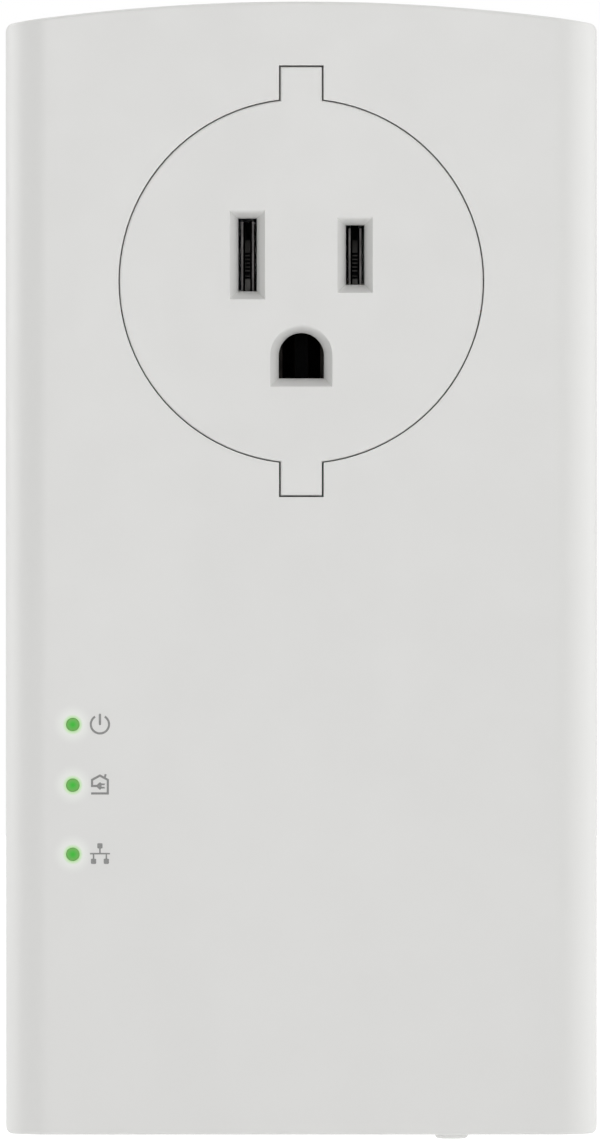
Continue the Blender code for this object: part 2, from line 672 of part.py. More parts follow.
def make_filter_parts():
    """Two toroidal inductors keep the data signal away from whatever is plugged into the outlet."""
    depth = (ON_POWER_Y - 7.2, ON_POWER_Y - 1.5)
    wound = (depth[0] - 1.5, depth[1] + 1.5)
    for name, side, start in (("left", -1, 60), ("right", 1, -120)):
        centre = (side * 20.5, 3.0)
        ring_core("inductor_core_" + name, centre, 4.2, 8.0, depth)
        winding = bent_tube(centre, 2.7, 9.5, wound, 1.2, start, start + 300, 20)
        node("inductor_winding_" + name, winding, finish("inductor_winding_" + name, COPPER, 0.3, 1.0))

    centre = (15.5, -27.0)
    depth = (ON_POWER_Y - 8.5, ON_POWER_Y - 1.5)
    wound = (depth[0] - 1.5, depth[1] + 1.5)
    ring_core("choke_core", centre, 4.6, 8.4, depth)
    for name, start in (("left", 115), ("right", -65)):
        winding = bent_tube(centre, 3.1, 9.9, wound, 1.2, start, start + 130, 10)
        node("choke_winding_" + name, winding, finish("choke_winding_" + name, COPPER, 0.3, 1.0))

    capacitor = node(
        "x_capacitor",
        box((-9.0, 9.0), (ON_POWER_Y - 12.0, ON_POWER_Y), (7.5, 15.0)),
        finish("x_capacitor", (0.85, 0.65, 0.10), 0.35),
    )
    soften(capacitor, 0.5)


def make_supply_parts():
    profile = [(4.2, ON_POWER_Y), (4.2, ON_POWER_Y - 7.4), (3.7, ON_POWER_Y - 8.0)]
    node("fuse", turned("Y", (-24.5, -16.0), profile), finish("fuse", (0.12, 0.10, 0.09), 0.45))

    disc_y = ON_POWER_Y - 5.4
    varistor = turned("X", (disc_y, -21.0), [(4.6, -13.0), (5.3, -12.4), (5.3, -9.6), (4.6, -9.0)], 20)
    node("varistor", varistor, finish("varistor", (0.03, 0.12, 0.42), 0.35))

    bridge = node(
        "bridge_rectifier",
        box((-6.8, 1.8), (ON_POWER_Y - 3.0, ON_POWER_Y), (-33.2, -26.8)),
        finish("bridge_rectifier", BLACK, 0.5),
    )
    soften(bridge, 0.4)

    top_y = ON_POWER_Y - 19.0
    for name, z in (("upper", -36.0), ("lower", -52.0)):
        profile = [
            (5.9, ON_POWER_Y), (6.3, ON_POWER_Y - 0.4), (6.3, ON_POWER_Y - 1.8), (5.9, ON_POWER_Y - 2.2),
            (6.3, ON_POWER_Y - 2.6), (6.3, top_y + 0.4), (5.9, top_y),
        ]
        can = turned("Y", (-21.5, z), profile, 24)
        node("bulk_capacitor_" + name, can, finish("bulk_capacitor_" + name, (0.05, 0.05, 0.09), 0.3))

    core_y = (-20.5, -14.5)
    core = node(
        "transformer_core",
        box((-4.0, 18.0), core_y, (-62.0, -42.0)),
        finish("transformer_core", FERRITE, 0.6),
    )
    through = (core_y[0] - 1, core_y[1] + 1)
    cut(core, *[box((0.0, 14.0), through, z) for z in ((-59.2, -54.5), (-49.5, -44.8))])
    bobbin = node(
        "transformer_bobbin",
        box((0.3, 13.7), (-25.4, ON_POWER_Y), (-58.9, -45.1)),
        finish("transformer_bobbin", (0.80, 0.62, 0.08), 0.45),
    )
    leg = box((-1.0, 15.0), (core_y[0] - GAP, core_y[1] + GAP), (-54.8, -49.2))
    cut(bobbin, leg)

    coupling = node(
        "coupling_transformer",
        box((6.8, 19.2), (ON_POWER_Y - 9.0, ON_POWER_Y), (-75.0, -64.5)),
        finish("coupling_transformer", (0.04, 0.04, 0.045), 0.45),
    )
    soften(coupling, 0.5)


def make_logic_parts():
    front = BEFORE_LOGIC_Y
    chip = box((-1.0, 13.0), (front - 1.2, front), (-67.0, -53.0))
    node("powerline_chip", chip, finish("powerline_chip", BLACK, 0.45))
    pad_front = front - 1.2 - GAP - 0.5
    pad = box((-1.0, 13.0), (pad_front, pad_front + 0.5), (-67.0, -53.0))
    node("thermal_pad", pad, finish("thermal_pad", (0.35, 0.42, 0.55), 0.8))

    back = pad_front - GAP
    tip = back - 3.9
    floor = back - 1.3
    fin, count = 1.2, 8
    pitch = (24.0 - fin) / (count - 1)
    outline = [(-6.0, back), (-6.0, tip)]
    for i in range(count):
        left = -6.0 + pitch * i
        outline += [(left, floor), (left, tip)] if i else []
        outline += [(left + fin, tip), (left + fin, floor)] if i < count - 1 else [(left + fin, tip)]
    outline.append((18.0, back))
    node("heatsink", prism("Z", outline, -72.0, -48.0), finish("heatsink", (0.70, 0.71, 0.72), 0.35, 1.0))

    node(
        "memory_chip",
        box((-18.0, -8.0), (front - 1.1, front), (-54.0, -46.0)),
        finish("memory_chip", BLACK, 0.45),
    )
    magnetics = node(
        "lan_transformer",
        box((PORT_X - 8.0, PORT_X + 8.0), (front - 5.8, front), (-91.0, -82.0)),
        finish("lan_transformer", BLACK, 0.5),
    )
    soften(magnetics, 0.3)

    for name, z in LIGHT_Z.items():
        emitter = box((LIGHT_X - 0.8, LIGHT_X + 0.8), (front - 0.8, front), (z - 0.5, z + 0.5))
        node("led_" + name, emitter, finish("led_" + name, (0.85, 0.85, 0.75), 0.3))

    clear = finish("light_pipe", (0.10, 0.62, 0.08), 0.15, alpha=0.8, glow=1.0)
    bar_z = (LIGHT_Z["network"] - 2.0, LIGHT_Z["power"] + 2.0)
    pipe = node("light_pipe", box((LIGHT_X - 1.5, LIGHT_X + 1.5), (-39.4, -37.9), bar_z), clear)
    lights = [(LIGHT_X, z) for z in LIGHT_Z.values()]
    fuse(pipe, *posts(lights, LIGHT_RADIUS, FRONT_Y, front - 0.8 - GAP))


def make_network_port():
    x = (PORT_X - PORT_HALF_WIDTH, PORT_X + PORT_HALF_WIDTH)
    y = (BEHIND_LOGIC_Y, PORT_BACK_Y)
    z = (PORT_MOUTH_Z, PORT_TOP_Z)
    shield = node("port_shield", box(x, y, z), finish("port_shield", STEEL, 0.25, 1.0))
    inside = [(low + PORT_SKIN, high - PORT_SKIN) for low, high in (x, y)]
    cut(shield, box(*inside, (z[0] - 1, z[1] - PORT_SKIN)))

    step = PORT_SKIN + GAP
    housing = node(
        "port_housing",
        box((x[0] + step, x[1] - step), (y[0] + step, y[1] - step), (z[0] + 0.2, z[1] - step)),
        finish("port_housing", BLACK, 0.45),
    )
    mouth = z[0] - 1
    steps = (
        (PORT_HOLE_HALF, PORT_HOLE_Y[0], PORT_HOLE_Y[1], PORT_STOP_Z),
        (3.1, PORT_HOLE_Y[1] - 1, PORT_HOLE_Y[1] + 1.3, PORT_STOP_Z - 2),
        (2.0, PORT_HOLE_Y[1] - 1, PORT_HOLE_Y[1] + 2.1, PORT_STOP_Z - 2),
    )
    for half, low, high, stop in steps:
        cut(housing, box((PORT_X - half, PORT_X + half), (low, high), (mouth, stop)))
    cut(housing, box((PORT_X - 5.4, PORT_X + 5.4), (-28.3, -21.3), (PORT_STOP_Z - 1, PORT_TOP_Z - 4.0)))

    block = node(
        "port_contacts",
        box((PORT_X - 5.1, PORT_X + 5.1), (-28.0, -21.6), (PORT_STOP_Z + GAP, PORT_TOP_Z - 4.3)),
        finish("port_contacts", (0.80, 0.62, 0.25), 0.3, 1.0),
    )
    spring = [
        (-27.9, PORT_STOP_Z + 1.0), (-28.35, -89.6), (-28.35, -99.2), (-27.9, -99.6),
        (-25.7, -92.0), (-26.2, -91.9), (-27.9, -98.2), (-27.9, -90.0), (-27.4, PORT_STOP_Z + 1.0),
    ]
    middles = [PORT_X + CONTACT_PITCH * (i - 3.5) for i in range(8)]
    fuse(block, *[prism("X", spring, x - 0.25, x + 0.25) for x in middles])


def make_buttons():
    pivot = (SYNC_X, BUTTON_Y, BUTTON_TIP_Z)
    profile = [
        (BUTTON_RADIUS - 0.45, BUTTON_TIP_Z), (BUTTON_RADIUS - 0.13, BUTTON_TIP_Z + 0.13),
        (BUTTON_RADIUS, BUTTON_TIP_Z + 0.45), (BUTTON_RADIUS, INNER_BOTTOM_Z + GAP),
        (3.0, INNER_BOTTOM_Z + GAP), (3.0, INNER_BOTTOM_Z + GAP + 1.1),
        (1.3, INNER_BOTTOM_Z + GAP + 1.1), (1.3, PLUNGER_TIP_Z - GAP),
    ]
    node("sync_button", turned("Z", pivot[:2], profile, 24), finish("sync_button", WHITE, 0.4), pivot)

    for name, x in (("sync", SYNC_X), ("reset", RESET_X)):
        body = node(
            name + "_switch_body",
            box((x - 3.0, x + 3.0), (BEHIND_LOGIC_Y, BEHIND_LOGIC_Y + 4.4), SWITCH_Z),
            finish(name + "_switch_body", STEEL, 0.35, 1.0),
        )
        bore = cylinder("Z", (x, BUTTON_Y), PLUNGER_RADIUS + GAP, SWITCH_Z[0] - 1, PLUNGER_TOP_Z + 0.9)
        cut(body, bore)
        pivot = (x, BUTTON_Y, PLUNGER_TIP_Z)
        profile = [
            (PLUNGER_RADIUS - 0.25, PLUNGER_TIP_Z), (PLUNGER_RADIUS, PLUNGER_TIP_Z + 0.25),
            (PLUNGER_RADIUS, PLUNGER_TOP_Z),
        ]
        node(
            name + "_switch_plunger",
            turned("Z", pivot[:2], profile, 16),
            finish(name + "_switch_plunger", BLACK, 0.4),
            pivot,
        )


def make_wires():
    """Insulated wires from the power board to the tails of the outlet contacts."""
    route = (
        (13.0, ON_POWER_Y - 1.1, -8.5), (13.0, -11.8, -8.4), (12.7, -14.0, -7.6), (12.0, -15.8, -6.2),
        (11.0, -17.0, -4.4), (10.0, -17.6, -2.6), (8.9, -17.8, -1.0), (8.3, -17.8, 0.4),
    )
    wires = (("neutral_wire", -1, (0.80, 0.80, 0.78)), ("line_wire", 1, (0.03, 0.03, 0.03)))
    for name, side, colour in wires:
        data = bpy.data.curves.new(name, "CURVE")
        data.dimensions = "3D"
        data.bevel_depth = 1.0 * MM
        data.bevel_resolution = 2
        data.use_fill_caps = True
        spline = data.splines.new("POLY")
        spline.points.add(len(route) - 1)
        for point, (x, y, z) in zip(spline.points, route):
            point.co = (side * x * MM, y * MM, z * MM, 1.0)
        data.materials.append(finish(name, colour, 0.5))
        bpy.context.scene.collection.objects.link(bpy.data.objects.new(name, data))


# ---- Screws ----


def screw_mesh(head_radius, head_height, shank_radius, length):
    """A pan-head screw along -Y, with the underside of its head at y = 0 and a cross recess."""
    head = [ring("Y", circle((0, 0), radius, 12), y) for radius, y in (
        (shank_radius * 0.6, -length),
        (shank_radius, -length + 0.8),
        (shank_radius, 0.0),
        (head_radius, 0.0),
        (head_radius, head_height * 0.6),
        (head_radius * 0.8, head_height),
    )]
    reach, arm, corner = head_radius * 0.55, head_radius * 0.13, head_radius * 0.18
    recess = []
    for quarter in range(4):
        cos, sin = math.cos(math.radians(90 * quarter)), math.sin(math.radians(90 * quarter))
        for u, v in ((reach, arm), (corner, corner), (arm, reach)):
            recess.append((u * cos - v * sin, u * sin + v * cos))
    floor = head_height * 0.35
    head.append(ring("Y", recess, head_height))
    head.append(ring("Y", [(u * 0.75, v * 0.75) for u, v in recess], floor))
    return loft(head)


def make_screws():
    # Name, places, where the head sits, which way the head faces along Y, and screw_mesh's sizes
    groups = (
        ("shell_screw", SHELL_SCREWS, SCREW_SEAT_Y + GAP, 1, (2.5, 1.9, 1.0, 15.0)),
        ("power_board_screw", POWER_SCREWS, ON_POWER_Y, -1, (2.1, 1.6, 0.75, 5.0)),
        ("logic_board_screw", LOGIC_SCREWS, BEHIND_LOGIC_Y, 1, (2.1, 1.6, 0.75, 6.5)),
        ("outlet_screw", OUTLET_SCREWS, EAR_Y[1] + GAP, 1, (2.0, 1.5, 0.75, 5.5)),
    )
    for name, positions, seat_y, facing, sizes in groups:
        shared = None
        for number, (x, z) in enumerate(positions, 1):
            seat = (x, seat_y, z)
            if shared is None:
                screw = node(f"{name}_{number}", screw_mesh(*sizes), finish(name, STEEL, 0.3, 1.0))
                shared = screw.data
            else:
                screw = bpy.data.objects.new(f"{name}_{number}", shared)
                bpy.context.scene.collection.objects.link(screw)
            screw.location = Vector(seat) * MM
            screw.rotation_euler = (0.0, 0.0, 0.0 if facing > 0 else math.pi)


def shade_rounds():
    """Shades every mesh smooth, and keeps its corners sharp."""
    for obj in bpy.data.objects:
        if obj.type == "MESH":
            obj.data.shade_smooth()
            obj.data.set_sharp_from_angle(angle=math.radians(30))


def main():
    for obj in list(bpy.data.objects):
        bpy.data.objects.remove(obj, do_unlink=True)
    make_front_shell()
    make_rear_shell()
    make_outlet_insert()
    make_outlet_back_cover()
    make_outlet_contacts()
    make_plug()
    make_boards()
    make_board_header()
    make_filter_parts()
    make_supply_parts()
    make_logic_parts()
    make_network_port()
    make_buttons()
    make_wires()
    make_screws()
    shade_rounds()


main()
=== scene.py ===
"""Looks of the powerline adapter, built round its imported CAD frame.

Meshes are worked out in millimetres and written in metres. Seen from the front, +X is right,
+Z is up and the front faces -Y. Places come from the frame's boxes; the sizes named below are the
details that a box doesn't hold.
"""

import json
import math
import random

import bmesh
import bpy
from mathutils import Matrix, Vector


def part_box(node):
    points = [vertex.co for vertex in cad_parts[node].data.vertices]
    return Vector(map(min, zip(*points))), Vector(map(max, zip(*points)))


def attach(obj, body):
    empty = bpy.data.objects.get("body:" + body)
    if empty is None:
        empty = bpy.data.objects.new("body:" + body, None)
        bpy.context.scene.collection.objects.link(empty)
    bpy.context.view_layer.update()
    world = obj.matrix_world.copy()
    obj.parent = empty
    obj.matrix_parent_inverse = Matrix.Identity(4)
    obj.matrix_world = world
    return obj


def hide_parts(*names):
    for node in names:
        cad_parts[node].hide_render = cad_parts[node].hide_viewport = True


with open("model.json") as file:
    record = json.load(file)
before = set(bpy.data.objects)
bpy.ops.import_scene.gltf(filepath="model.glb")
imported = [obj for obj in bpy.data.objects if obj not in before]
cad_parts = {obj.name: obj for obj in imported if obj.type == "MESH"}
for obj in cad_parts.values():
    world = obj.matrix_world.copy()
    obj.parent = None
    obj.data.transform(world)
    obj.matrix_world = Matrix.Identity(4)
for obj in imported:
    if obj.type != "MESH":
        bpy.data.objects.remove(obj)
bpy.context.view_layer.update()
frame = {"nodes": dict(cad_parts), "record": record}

MM = 0.001


def span(node):
    """A CAD node's lowest and highest corner, in millimetres."""
    low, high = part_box(node)
    return low / MM, high / MM


def middle(node):
    low, high = span(node)
    return (low + high) / 2


def ranges(node):
    """A CAD node's (low, high) pair on each axis."""
    return list(zip(*span(node)))


def about(centre, half):
    """The (low, high) pair that reaches as far to each side of a centre."""
    return centre - half, centre + half


# ---- Driving dimensions ----

SHELL_LOW, SHELL_HIGH = span("front_shell")
REAR_LOW, REAR_HIGH = span("rear_shell")
INSERT_LOW, INSERT_HIGH = span("outlet_insert")
PLUG_LOW, PLUG_HIGH = span("plug_base")
HOT_LOW, HOT_HIGH = span("hot_blade")
PIN_LOW, PIN_HIGH = span("ground_pin")
PIPE_LOW, PIPE_HIGH = span("light_pipe")
PORT_LOW, PORT_HIGH = span("port_shield")
BUTTON_LOW, BUTTON_HIGH = span("sync_button")
LOGIC_FACE_Y = span("logic_board")[0].y
POWER_FACE_Y, POWER_BACK_Y = (corner.y for corner in span("power_board"))

HALF_WIDTH = SHELL_HIGH.x
FRONT_Y = SHELL_LOW.y
BACK_Y = REAR_HIGH.y
BOTTOM_Z = SHELL_LOW.z
TOP_Z = SHELL_HIGH.z
TOP_RADIUS = 238.6
WALL = 2.2
FRONT_CORNER = 5.2  # radius of the two long front edges, in plan
BACK_CORNER = 3.0
EDGE_ROUND = 0.8
FACE_ROUND = 0.4  # round between the front face and the top and bottom
JOINT_ROUND = 0.12  # round on the edges that meet at the joint between the shells
SPLIT_Y = REAR_LOW.y + 2.0  # that joint; the rear shell's lip reaches 2 mm past it
SPLIT_GAP = 0.14
INNER_BACK_Y = BACK_Y - WALL
INNER_BOTTOM_Z = BOTTOM_Z + WALL

FRONT_POST_RADIUS = 3.25  # the front shell's posts, which the shell screws bite into
REAR_POST_RADIUS = 3.9
POST_JOINT_Y = SPLIT_Y + 2.0  # where the posts of the two shells meet
POST_BORE_Y = FRONT_Y + 15.0
SCREW_SEAT_Y = BACK_Y - 8.5
BOSS_RADIUS = 2.8  # posts for the small screws
BOSS_BORE = 1.05

OUTLET_Z = (INSERT_LOW.z + INSERT_HIGH.z) / 2
OUTLET_RADIUS = 21.44
OUTLET_TAB_HALF = 2.45
OUTLET_TAB_REACH = (INSERT_HIGH.z - INSERT_LOW.z) / 2
SEAM = 0.12  # visible joint round the insert, which is a little wider at its two tabs
TAB_SEAM = 0.17
SEAM_ROUND = 0.1
INSERT_ROUND = 0.26
SKIN_BACK_Y = FRONT_Y + 2.8
EAR_Y = (FRONT_Y + 5.5, FRONT_Y + 7.3)
TOWER_BACK_Y = INSERT_HIGH.y
BLADE_X = (HOT_LOW.x + HOT_HIGH.x) / 2
SLOT_WIDTH = 2.19
NEUTRAL_SLOT = (-4.26, 4.37)
HOT_SLOT = (-3.48, 3.57)
GROUND_Z = (PIN_LOW.z + PIN_HIGH.z) / 2
GROUND_LIFT = 0.06  # how far the grounding hole's middle is above the pin's
GROUND_RADIUS = 2.67
GROUND_DROP = 2.65
RECESS = 1.0  # how far the mouth of each slot spreads
RECESS_DEPTH = 1.9
CONTACT_WEB_Y = FRONT_Y + 14.0
RUNG_Y = (FRONT_Y + 4.7, FRONT_Y + 5.7)
RUNG_PITCH = 0.45

PLUG_RADIUS = 18.5
PLUG_ROUND = 0.6
PLUG_GAP = 0.12  # clearance round the blades and the pin
BLADE_THICK = 1.5
BLADE_WIDE = 6.35
BLADE_SHOULDER_Y = -2.1
BLADE_TAPER = 2.6
BLADE_HOLE_Y = 11.7
BLADE_HOLE_RADIUS = 1.6
PIN_RADIUS = (PIN_HIGH.x - PIN_LOW.x) / 2

SHELL_SCREWS = [middle(f"shell_screw_{i}") for i in (1, 2, 3, 4)]
OUTLET_SCREWS = [middle(f"outlet_screw_{i}") for i in (1, 2)]
POWER_SCREWS = [middle(f"power_board_screw_{i}") for i in (1, 2)]
LOGIC_SCREWS = [middle(f"logic_board_screw_{i}") for i in (1, 2)]

PORT_X = (PORT_LOW.x + PORT_HIGH.x) / 2
PORT_GAP = 0.3  # clearance round the jack in the shell
PORT_HOLE_HALF = 5.9
PORT_HOLE_Y = (PORT_LOW.y + 1.8, PORT_LOW.y + 10.1)
PORT_STOP_Z = PORT_LOW.z + 14.4
CONTACT_PITCH = 1.27

BUTTON_X = (BUTTON_LOW.x + BUTTON_HIGH.x) / 2
BUTTON_Y = (BUTTON_LOW.y + BUTTON_HIGH.y) / 2
BUTTON_RADIUS = 2.0
RESET_X = middle("reset_switch_plunger").x
RESET_RADIUS = 0.85

LIGHT_X = (PIPE_LOW.x + PIPE_HIGH.x) / 2
LIGHT_RADIUS = 0.78
LIGHTS = [middle(name).z for name in ("led_power", "led_powerline", "led_network")]
ICON_X = LIGHT_X + 3.2
INK = 0.02  # thickness of the printed symbols

VENT_PITCH = 4.5
VENT_HALF_WIDTH = 0.8
SIDE_VENT_Z = [-44.0 + VENT_PITCH * (i - 6.5) for i in range(14)]
END_VENT_X = [VENT_PITCH * (i - 4) for i in range(9)]
SIDE_VENT_Y = (SPLIT_Y + 2.0, BACK_Y - 4.0)
END_VENT_Y = (SPLIT_Y + 2.5, BACK_Y - 4.0)
LABEL_X = (-22.0, 22.0)
LABEL_Z = (-88.0, -38.0)
LABEL_DEPTH = 0.25
LABEL_MARGIN = 0.6

COIL_WIRE = 0.42


# ---- Outlines, as lists of (u, v) points ----


def arc(centre, radius, start, end, steps):
    """Points along an arc, angles in degrees, both ends included."""
    angles = [math.radians(start + (end - start) * i / steps) for i in range(steps + 1)]
    return [(centre[0] + radius * math.cos(a), centre[1] + radius * math.sin(a)) for a in angles]


def circle(centre, radius, steps):
    """A regular polygon, turned half a step so that no corner lies on the centre planes."""
    return arc(centre, radius, 180 / steps, 360 + 180 / steps, steps)[:-1]


def rectangle(low_u, high_u, low_v, high_v):
    return [(low_u, low_v), (high_u, low_v), (high_u, high_v), (low_u, high_v)]


def rounded_rectangle(low_u, high_u, low_v, high_v, radius, steps=6):
    corners = [(high_u, low_v, -90), (high_u, high_v, 0), (low_u, high_v, 90), (low_u, low_v, 180)]
    points = []
    for u, v, start in corners:
        centre_u = u - radius if u == high_u else u + radius
        centre_v = v - radius if v == high_v else v + radius
        points += arc((centre_u, centre_v), radius, start, start + 90, steps)
    return points


def keyed_circle(grow, tab_grow, steps=48):
    """The outlet insert's outline: a circle with a square tab at its top and bottom."""
    radius, tab, reach = OUTLET_RADIUS + grow, OUTLET_TAB_HALF + tab_grow, OUTLET_TAB_REACH + tab_grow
    half_angle = math.degrees(math.asin(tab / radius))
    centre = (0, OUTLET_Z)
    right = arc(centre, radius, -90 + half_angle, 90 - half_angle, steps)
    left = arc(centre, radius, 90 + half_angle, 270 - half_angle, steps)
    top = [(tab, OUTLET_Z + reach), (-tab, OUTLET_Z + reach)]
    bottom = [(-tab, OUTLET_Z - reach), (tab, OUTLET_Z - reach)]
    return right + top + left + bottom


def ground_outline(grow, top, steps=28):
    """The grounding hole: a half circle on a rectangle. It can grow by another amount at its top."""
    half, bottom = GROUND_RADIUS + grow, GROUND_Z - GROUND_DROP - grow
    middle_z = GROUND_Z + GROUND_LIFT
    lift = (GROUND_RADIUS + top) / half
    bow = [(u, middle_z + (v - middle_z) * lift) for u, v in arc((0, middle_z), half, 0, 180, steps)]
    return bow + [(-half, bottom), (half, bottom)]


def slot_outline(x, ends, grow, top):
    return rectangle(*about(x, SLOT_WIDTH / 2 + grow), ends[0] - grow, ends[1] + top)


def stroke(points, width):
    """The outline of a line drawn with a flat pen along open points, with mitred corners."""
    left, right = [], []
    for i, point in enumerate(points):
        here = Vector(point)
        before = (here - Vector(points[i - 1])).normalized() if i else None
        after = (Vector(points[i + 1]) - here).normalized() if i < len(points) - 1 else None
        along = ((before or after) + (after or before)).normalized()
        across = Vector((-along.y, along.x))
        reach = width / 2 / max(0.4, along.dot(after or before))
        left.append(tuple(here + across * reach))
        right.append(tuple(here - across * reach))
    return left + right[::-1]


# A hole's outline is a function, which gives the outline widened by an amount.


def round_hole(centre, radius, steps):
    return lambda grow: circle(centre, radius + grow, steps)


def square_hole(u, v):
    return lambda grow: rectangle(u[0] - grow, u[1] + grow, v[0] - grow, v[1] + grow)


def soft_hole(u, v, radius, steps=6):
    return lambda grow: rounded_rectangle(
        u[0] - grow, u[1] + grow, v[0] - grow, v[1] + grow, radius + grow, steps
    )


# ---- Solids, as bmeshes in millimetres ----


def ring(axis, outline, depth):
    """Places a flat outline across an axis, at that depth."""
    if axis == "X":
        return [(depth, u, v) for u, v in outline]
    if axis == "Y":
        return [(u, depth, v) for u, v in outline]
    return [(u, v, depth) for u, v in outline]


def loft(rings, closed=False):
    """Joins rings that have the same number of points. It closes both ends, or joins last to first."""
    mesh = bmesh.new()
    loops = [[mesh.verts.new(point) for point in points] for points in rings]
    pairs = list(zip(loops, loops[1:])) + ([(loops[-1], loops[0])] if closed else [])
    for lower, upper in pairs:
        for i, vert in enumerate(lower):
            mesh.faces.new((lower[i - 1], vert, upper[i], upper[i - 1]))
    if not closed:
        mesh.faces.new(loops[0])
        mesh.faces.new(loops[-1])
    bmesh.ops.recalc_face_normals(mesh, faces=mesh.faces)
    return mesh


def prism(axis, outline, start, end):
    return loft([ring(axis, outline, start), ring(axis, outline, end)])


def box(x, y, z):
    """A box from its (low, high) pair on each axis."""
    return prism("Z", rectangle(*x, *y), *z)


def cylinder(axis, centre, radius, start, end, steps=32):
    return prism(axis, circle(centre, radius, steps), start, end)


def turned(axis, centre, profile, steps=48, closed=False):
    """A solid of revolution. Its profile holds (radius, depth) pairs, to the other end or all round."""
    return loft([ring(axis, circle(centre, radius, steps), depth) for radius, depth in profile], closed)


def round_box(x, y, z, radius, steps=3):
    """A box whose edges are all rounded."""
    mesh = box(x, y, z)
    shape = {"offset": radius, "segments": steps, "profile": 0.5, "clamp_overlap": True}
    bmesh.ops.bevel(mesh, geom=mesh.edges[:], affect="EDGES", **shape)
    return mesh


def sweep(path, radius, steps=8):
    """A round wire along a path of points."""
    points = [Vector(p) for p in path]
    side = Vector((0.3, 0.5, 0.8))
    rings = []
    for i, point in enumerate(points):
        along = (points[min(i + 1, len(points) - 1)] - points[max(i - 1, 0)]).normalized()
        side = (side - along * side.dot(along)).normalized()
        up = along.cross(side)
        angles = [2 * math.pi * k / steps for k in range(steps)]
        rings.append([point + radius * (side * math.cos(a) + up * math.sin(a)) for a in angles])
    return loft(rings)


def smooth_path(points, per_leg):
    """A Catmull-Rom curve through the points."""
    ends = [Vector(point) for point in (points[0], *points, points[-1])]
    path = []
    for a, b, c, d in zip(ends, ends[1:], ends[2:], ends[3:]):
        for i in range(per_leg):
            t = i / per_leg
            bend = (2 * a - 5 * b + 4 * c - d) * t**2
            twist = (3 * b - a - 3 * c + d) * t**3
            path.append(0.5 * (2 * b + (c - a) * t + bend + twist))
    return path + [ends[-1]]


def shift(mesh, offset, turn=None):
    """Turns a mesh about the origin by a rotation matrix, then moves it."""
    if turn:
        bmesh.ops.rotate(mesh, verts=mesh.verts, matrix=turn)
    bmesh.ops.translate(mesh, verts=mesh.verts, vec=offset)
    return mesh


def mesh_data(name, mesh):
    """Turns a bmesh into mesh data, and frees it."""
    data = bpy.data.meshes.new(name)
    mesh.to_mesh(data)
    mesh.free()
    return data


def add_object(name, data):
    obj = bpy.data.objects.new(name, data)
    bpy.context.scene.collection.objects.link(obj)
    return obj


def together(*meshes):
    """Puts several bmeshes into one, as separate bodies."""
    result = bmesh.new()
    for mesh in meshes:
        data = mesh_data("part_of_group", mesh)
        result.from_mesh(data)
        bpy.data.meshes.remove(data)
    return result


def boolean(base, operation, tools):
    """The base with the tools cut from it or joined to it, as a new bmesh."""
    solids = (base, together(*tools))
    target, other = (add_object("temporary", mesh_data("temporary", solid)) for solid in solids)
    modifier = target.modifiers.new("Boolean", "BOOLEAN")
    modifier.operation = operation
    modifier.solver = "EXACT"
    modifier.object = other
    result = bmesh.new()
    result.from_object(target, bpy.context.evaluated_depsgraph_get())
    for obj in (target, other):
        data = obj.data
        bpy.data.objects.remove(obj)
        bpy.data.meshes.remove(data)
    return result


def cut(base, *tools):
    return boolean(base, "DIFFERENCE", tools)


def fuse(base, *tools):
    return boolean(base, "UNION", tools)


def posts(places, radius, start, end, steps=28):
    """One cylinder along Y at each place, which is a point."""
    return [cylinder("Y", (place.x, place.z), radius, start, end, steps) for place in places]


def flared(axis, outline, face, through, round_by, steps=4):
    """A cutter for a hole with a rounded mouth."""
    inward = math.copysign(1, through - face)
    rings = [ring(axis, outline(round_by), face - inward)]
    for i in range(steps + 1):
        angle = math.radians(90 * i / steps)
        depth = face + inward * round_by * (1 - math.cos(angle))
        rings.append(ring(axis, outline(round_by * (1 - math.sin(angle))), depth))
    rings.append(ring(axis, outline(0), through))
    return loft(rings)


def body_block(inset, y_start, y_end, front_edge, back_edge, turns=18, edge_steps=6):
    """The adapter's outer form, shrunk by inset and kept between two depths.

    It is lofted along X through upright rings, whose front and back corners are rounded.
    """
    half_width = HALF_WIDTH - inset
    front_radius = FRONT_CORNER - inset
    back_radius = max(BACK_CORNER - inset, 0.5)
    top_radius = TOP_RADIUS - inset
    turn_in = max(EDGE_ROUND - inset, 0.3)

    def drop(x, radius):
        """How far a corner of that radius has turned away at x."""
        past = max(abs(x) - (half_width - radius), 0.0)
        return radius - math.sqrt(max(radius**2 - past**2, 0.0))

    corner_x = [u for u, v in arc((half_width - front_radius, 0), front_radius, 0, 90, turns)]
    flat_x = [corner_x[-1] * (1 - 2 * i / 25) for i in range(1, 25)]
    stations = corner_x + flat_x + [-x for x in reversed(corner_x)]

    rings = []
    for x in stations:
        front = max(FRONT_Y + inset + drop(x, front_radius), y_start)
        back = min(BACK_Y - inset - drop(x, back_radius), y_end)
        low = BOTTOM_Z + inset + drop(x, turn_in)
        high = TOP_Z - inset - (top_radius - math.sqrt(top_radius**2 - x**2)) - drop(x, turn_in)
        outline = arc((front + front_edge, low + front_edge), front_edge, 180, 270, edge_steps)
        outline += arc((back - back_edge, low + back_edge), back_edge, 270, 360, edge_steps)
        outline += arc((back - back_edge, high - back_edge), back_edge, 0, 90, edge_steps)
        outline += arc((front + front_edge, high - front_edge), front_edge, 90, 180, edge_steps)
        rings.append(ring("X", outline, x))
    return loft(rings)


# ---- Pieces ----


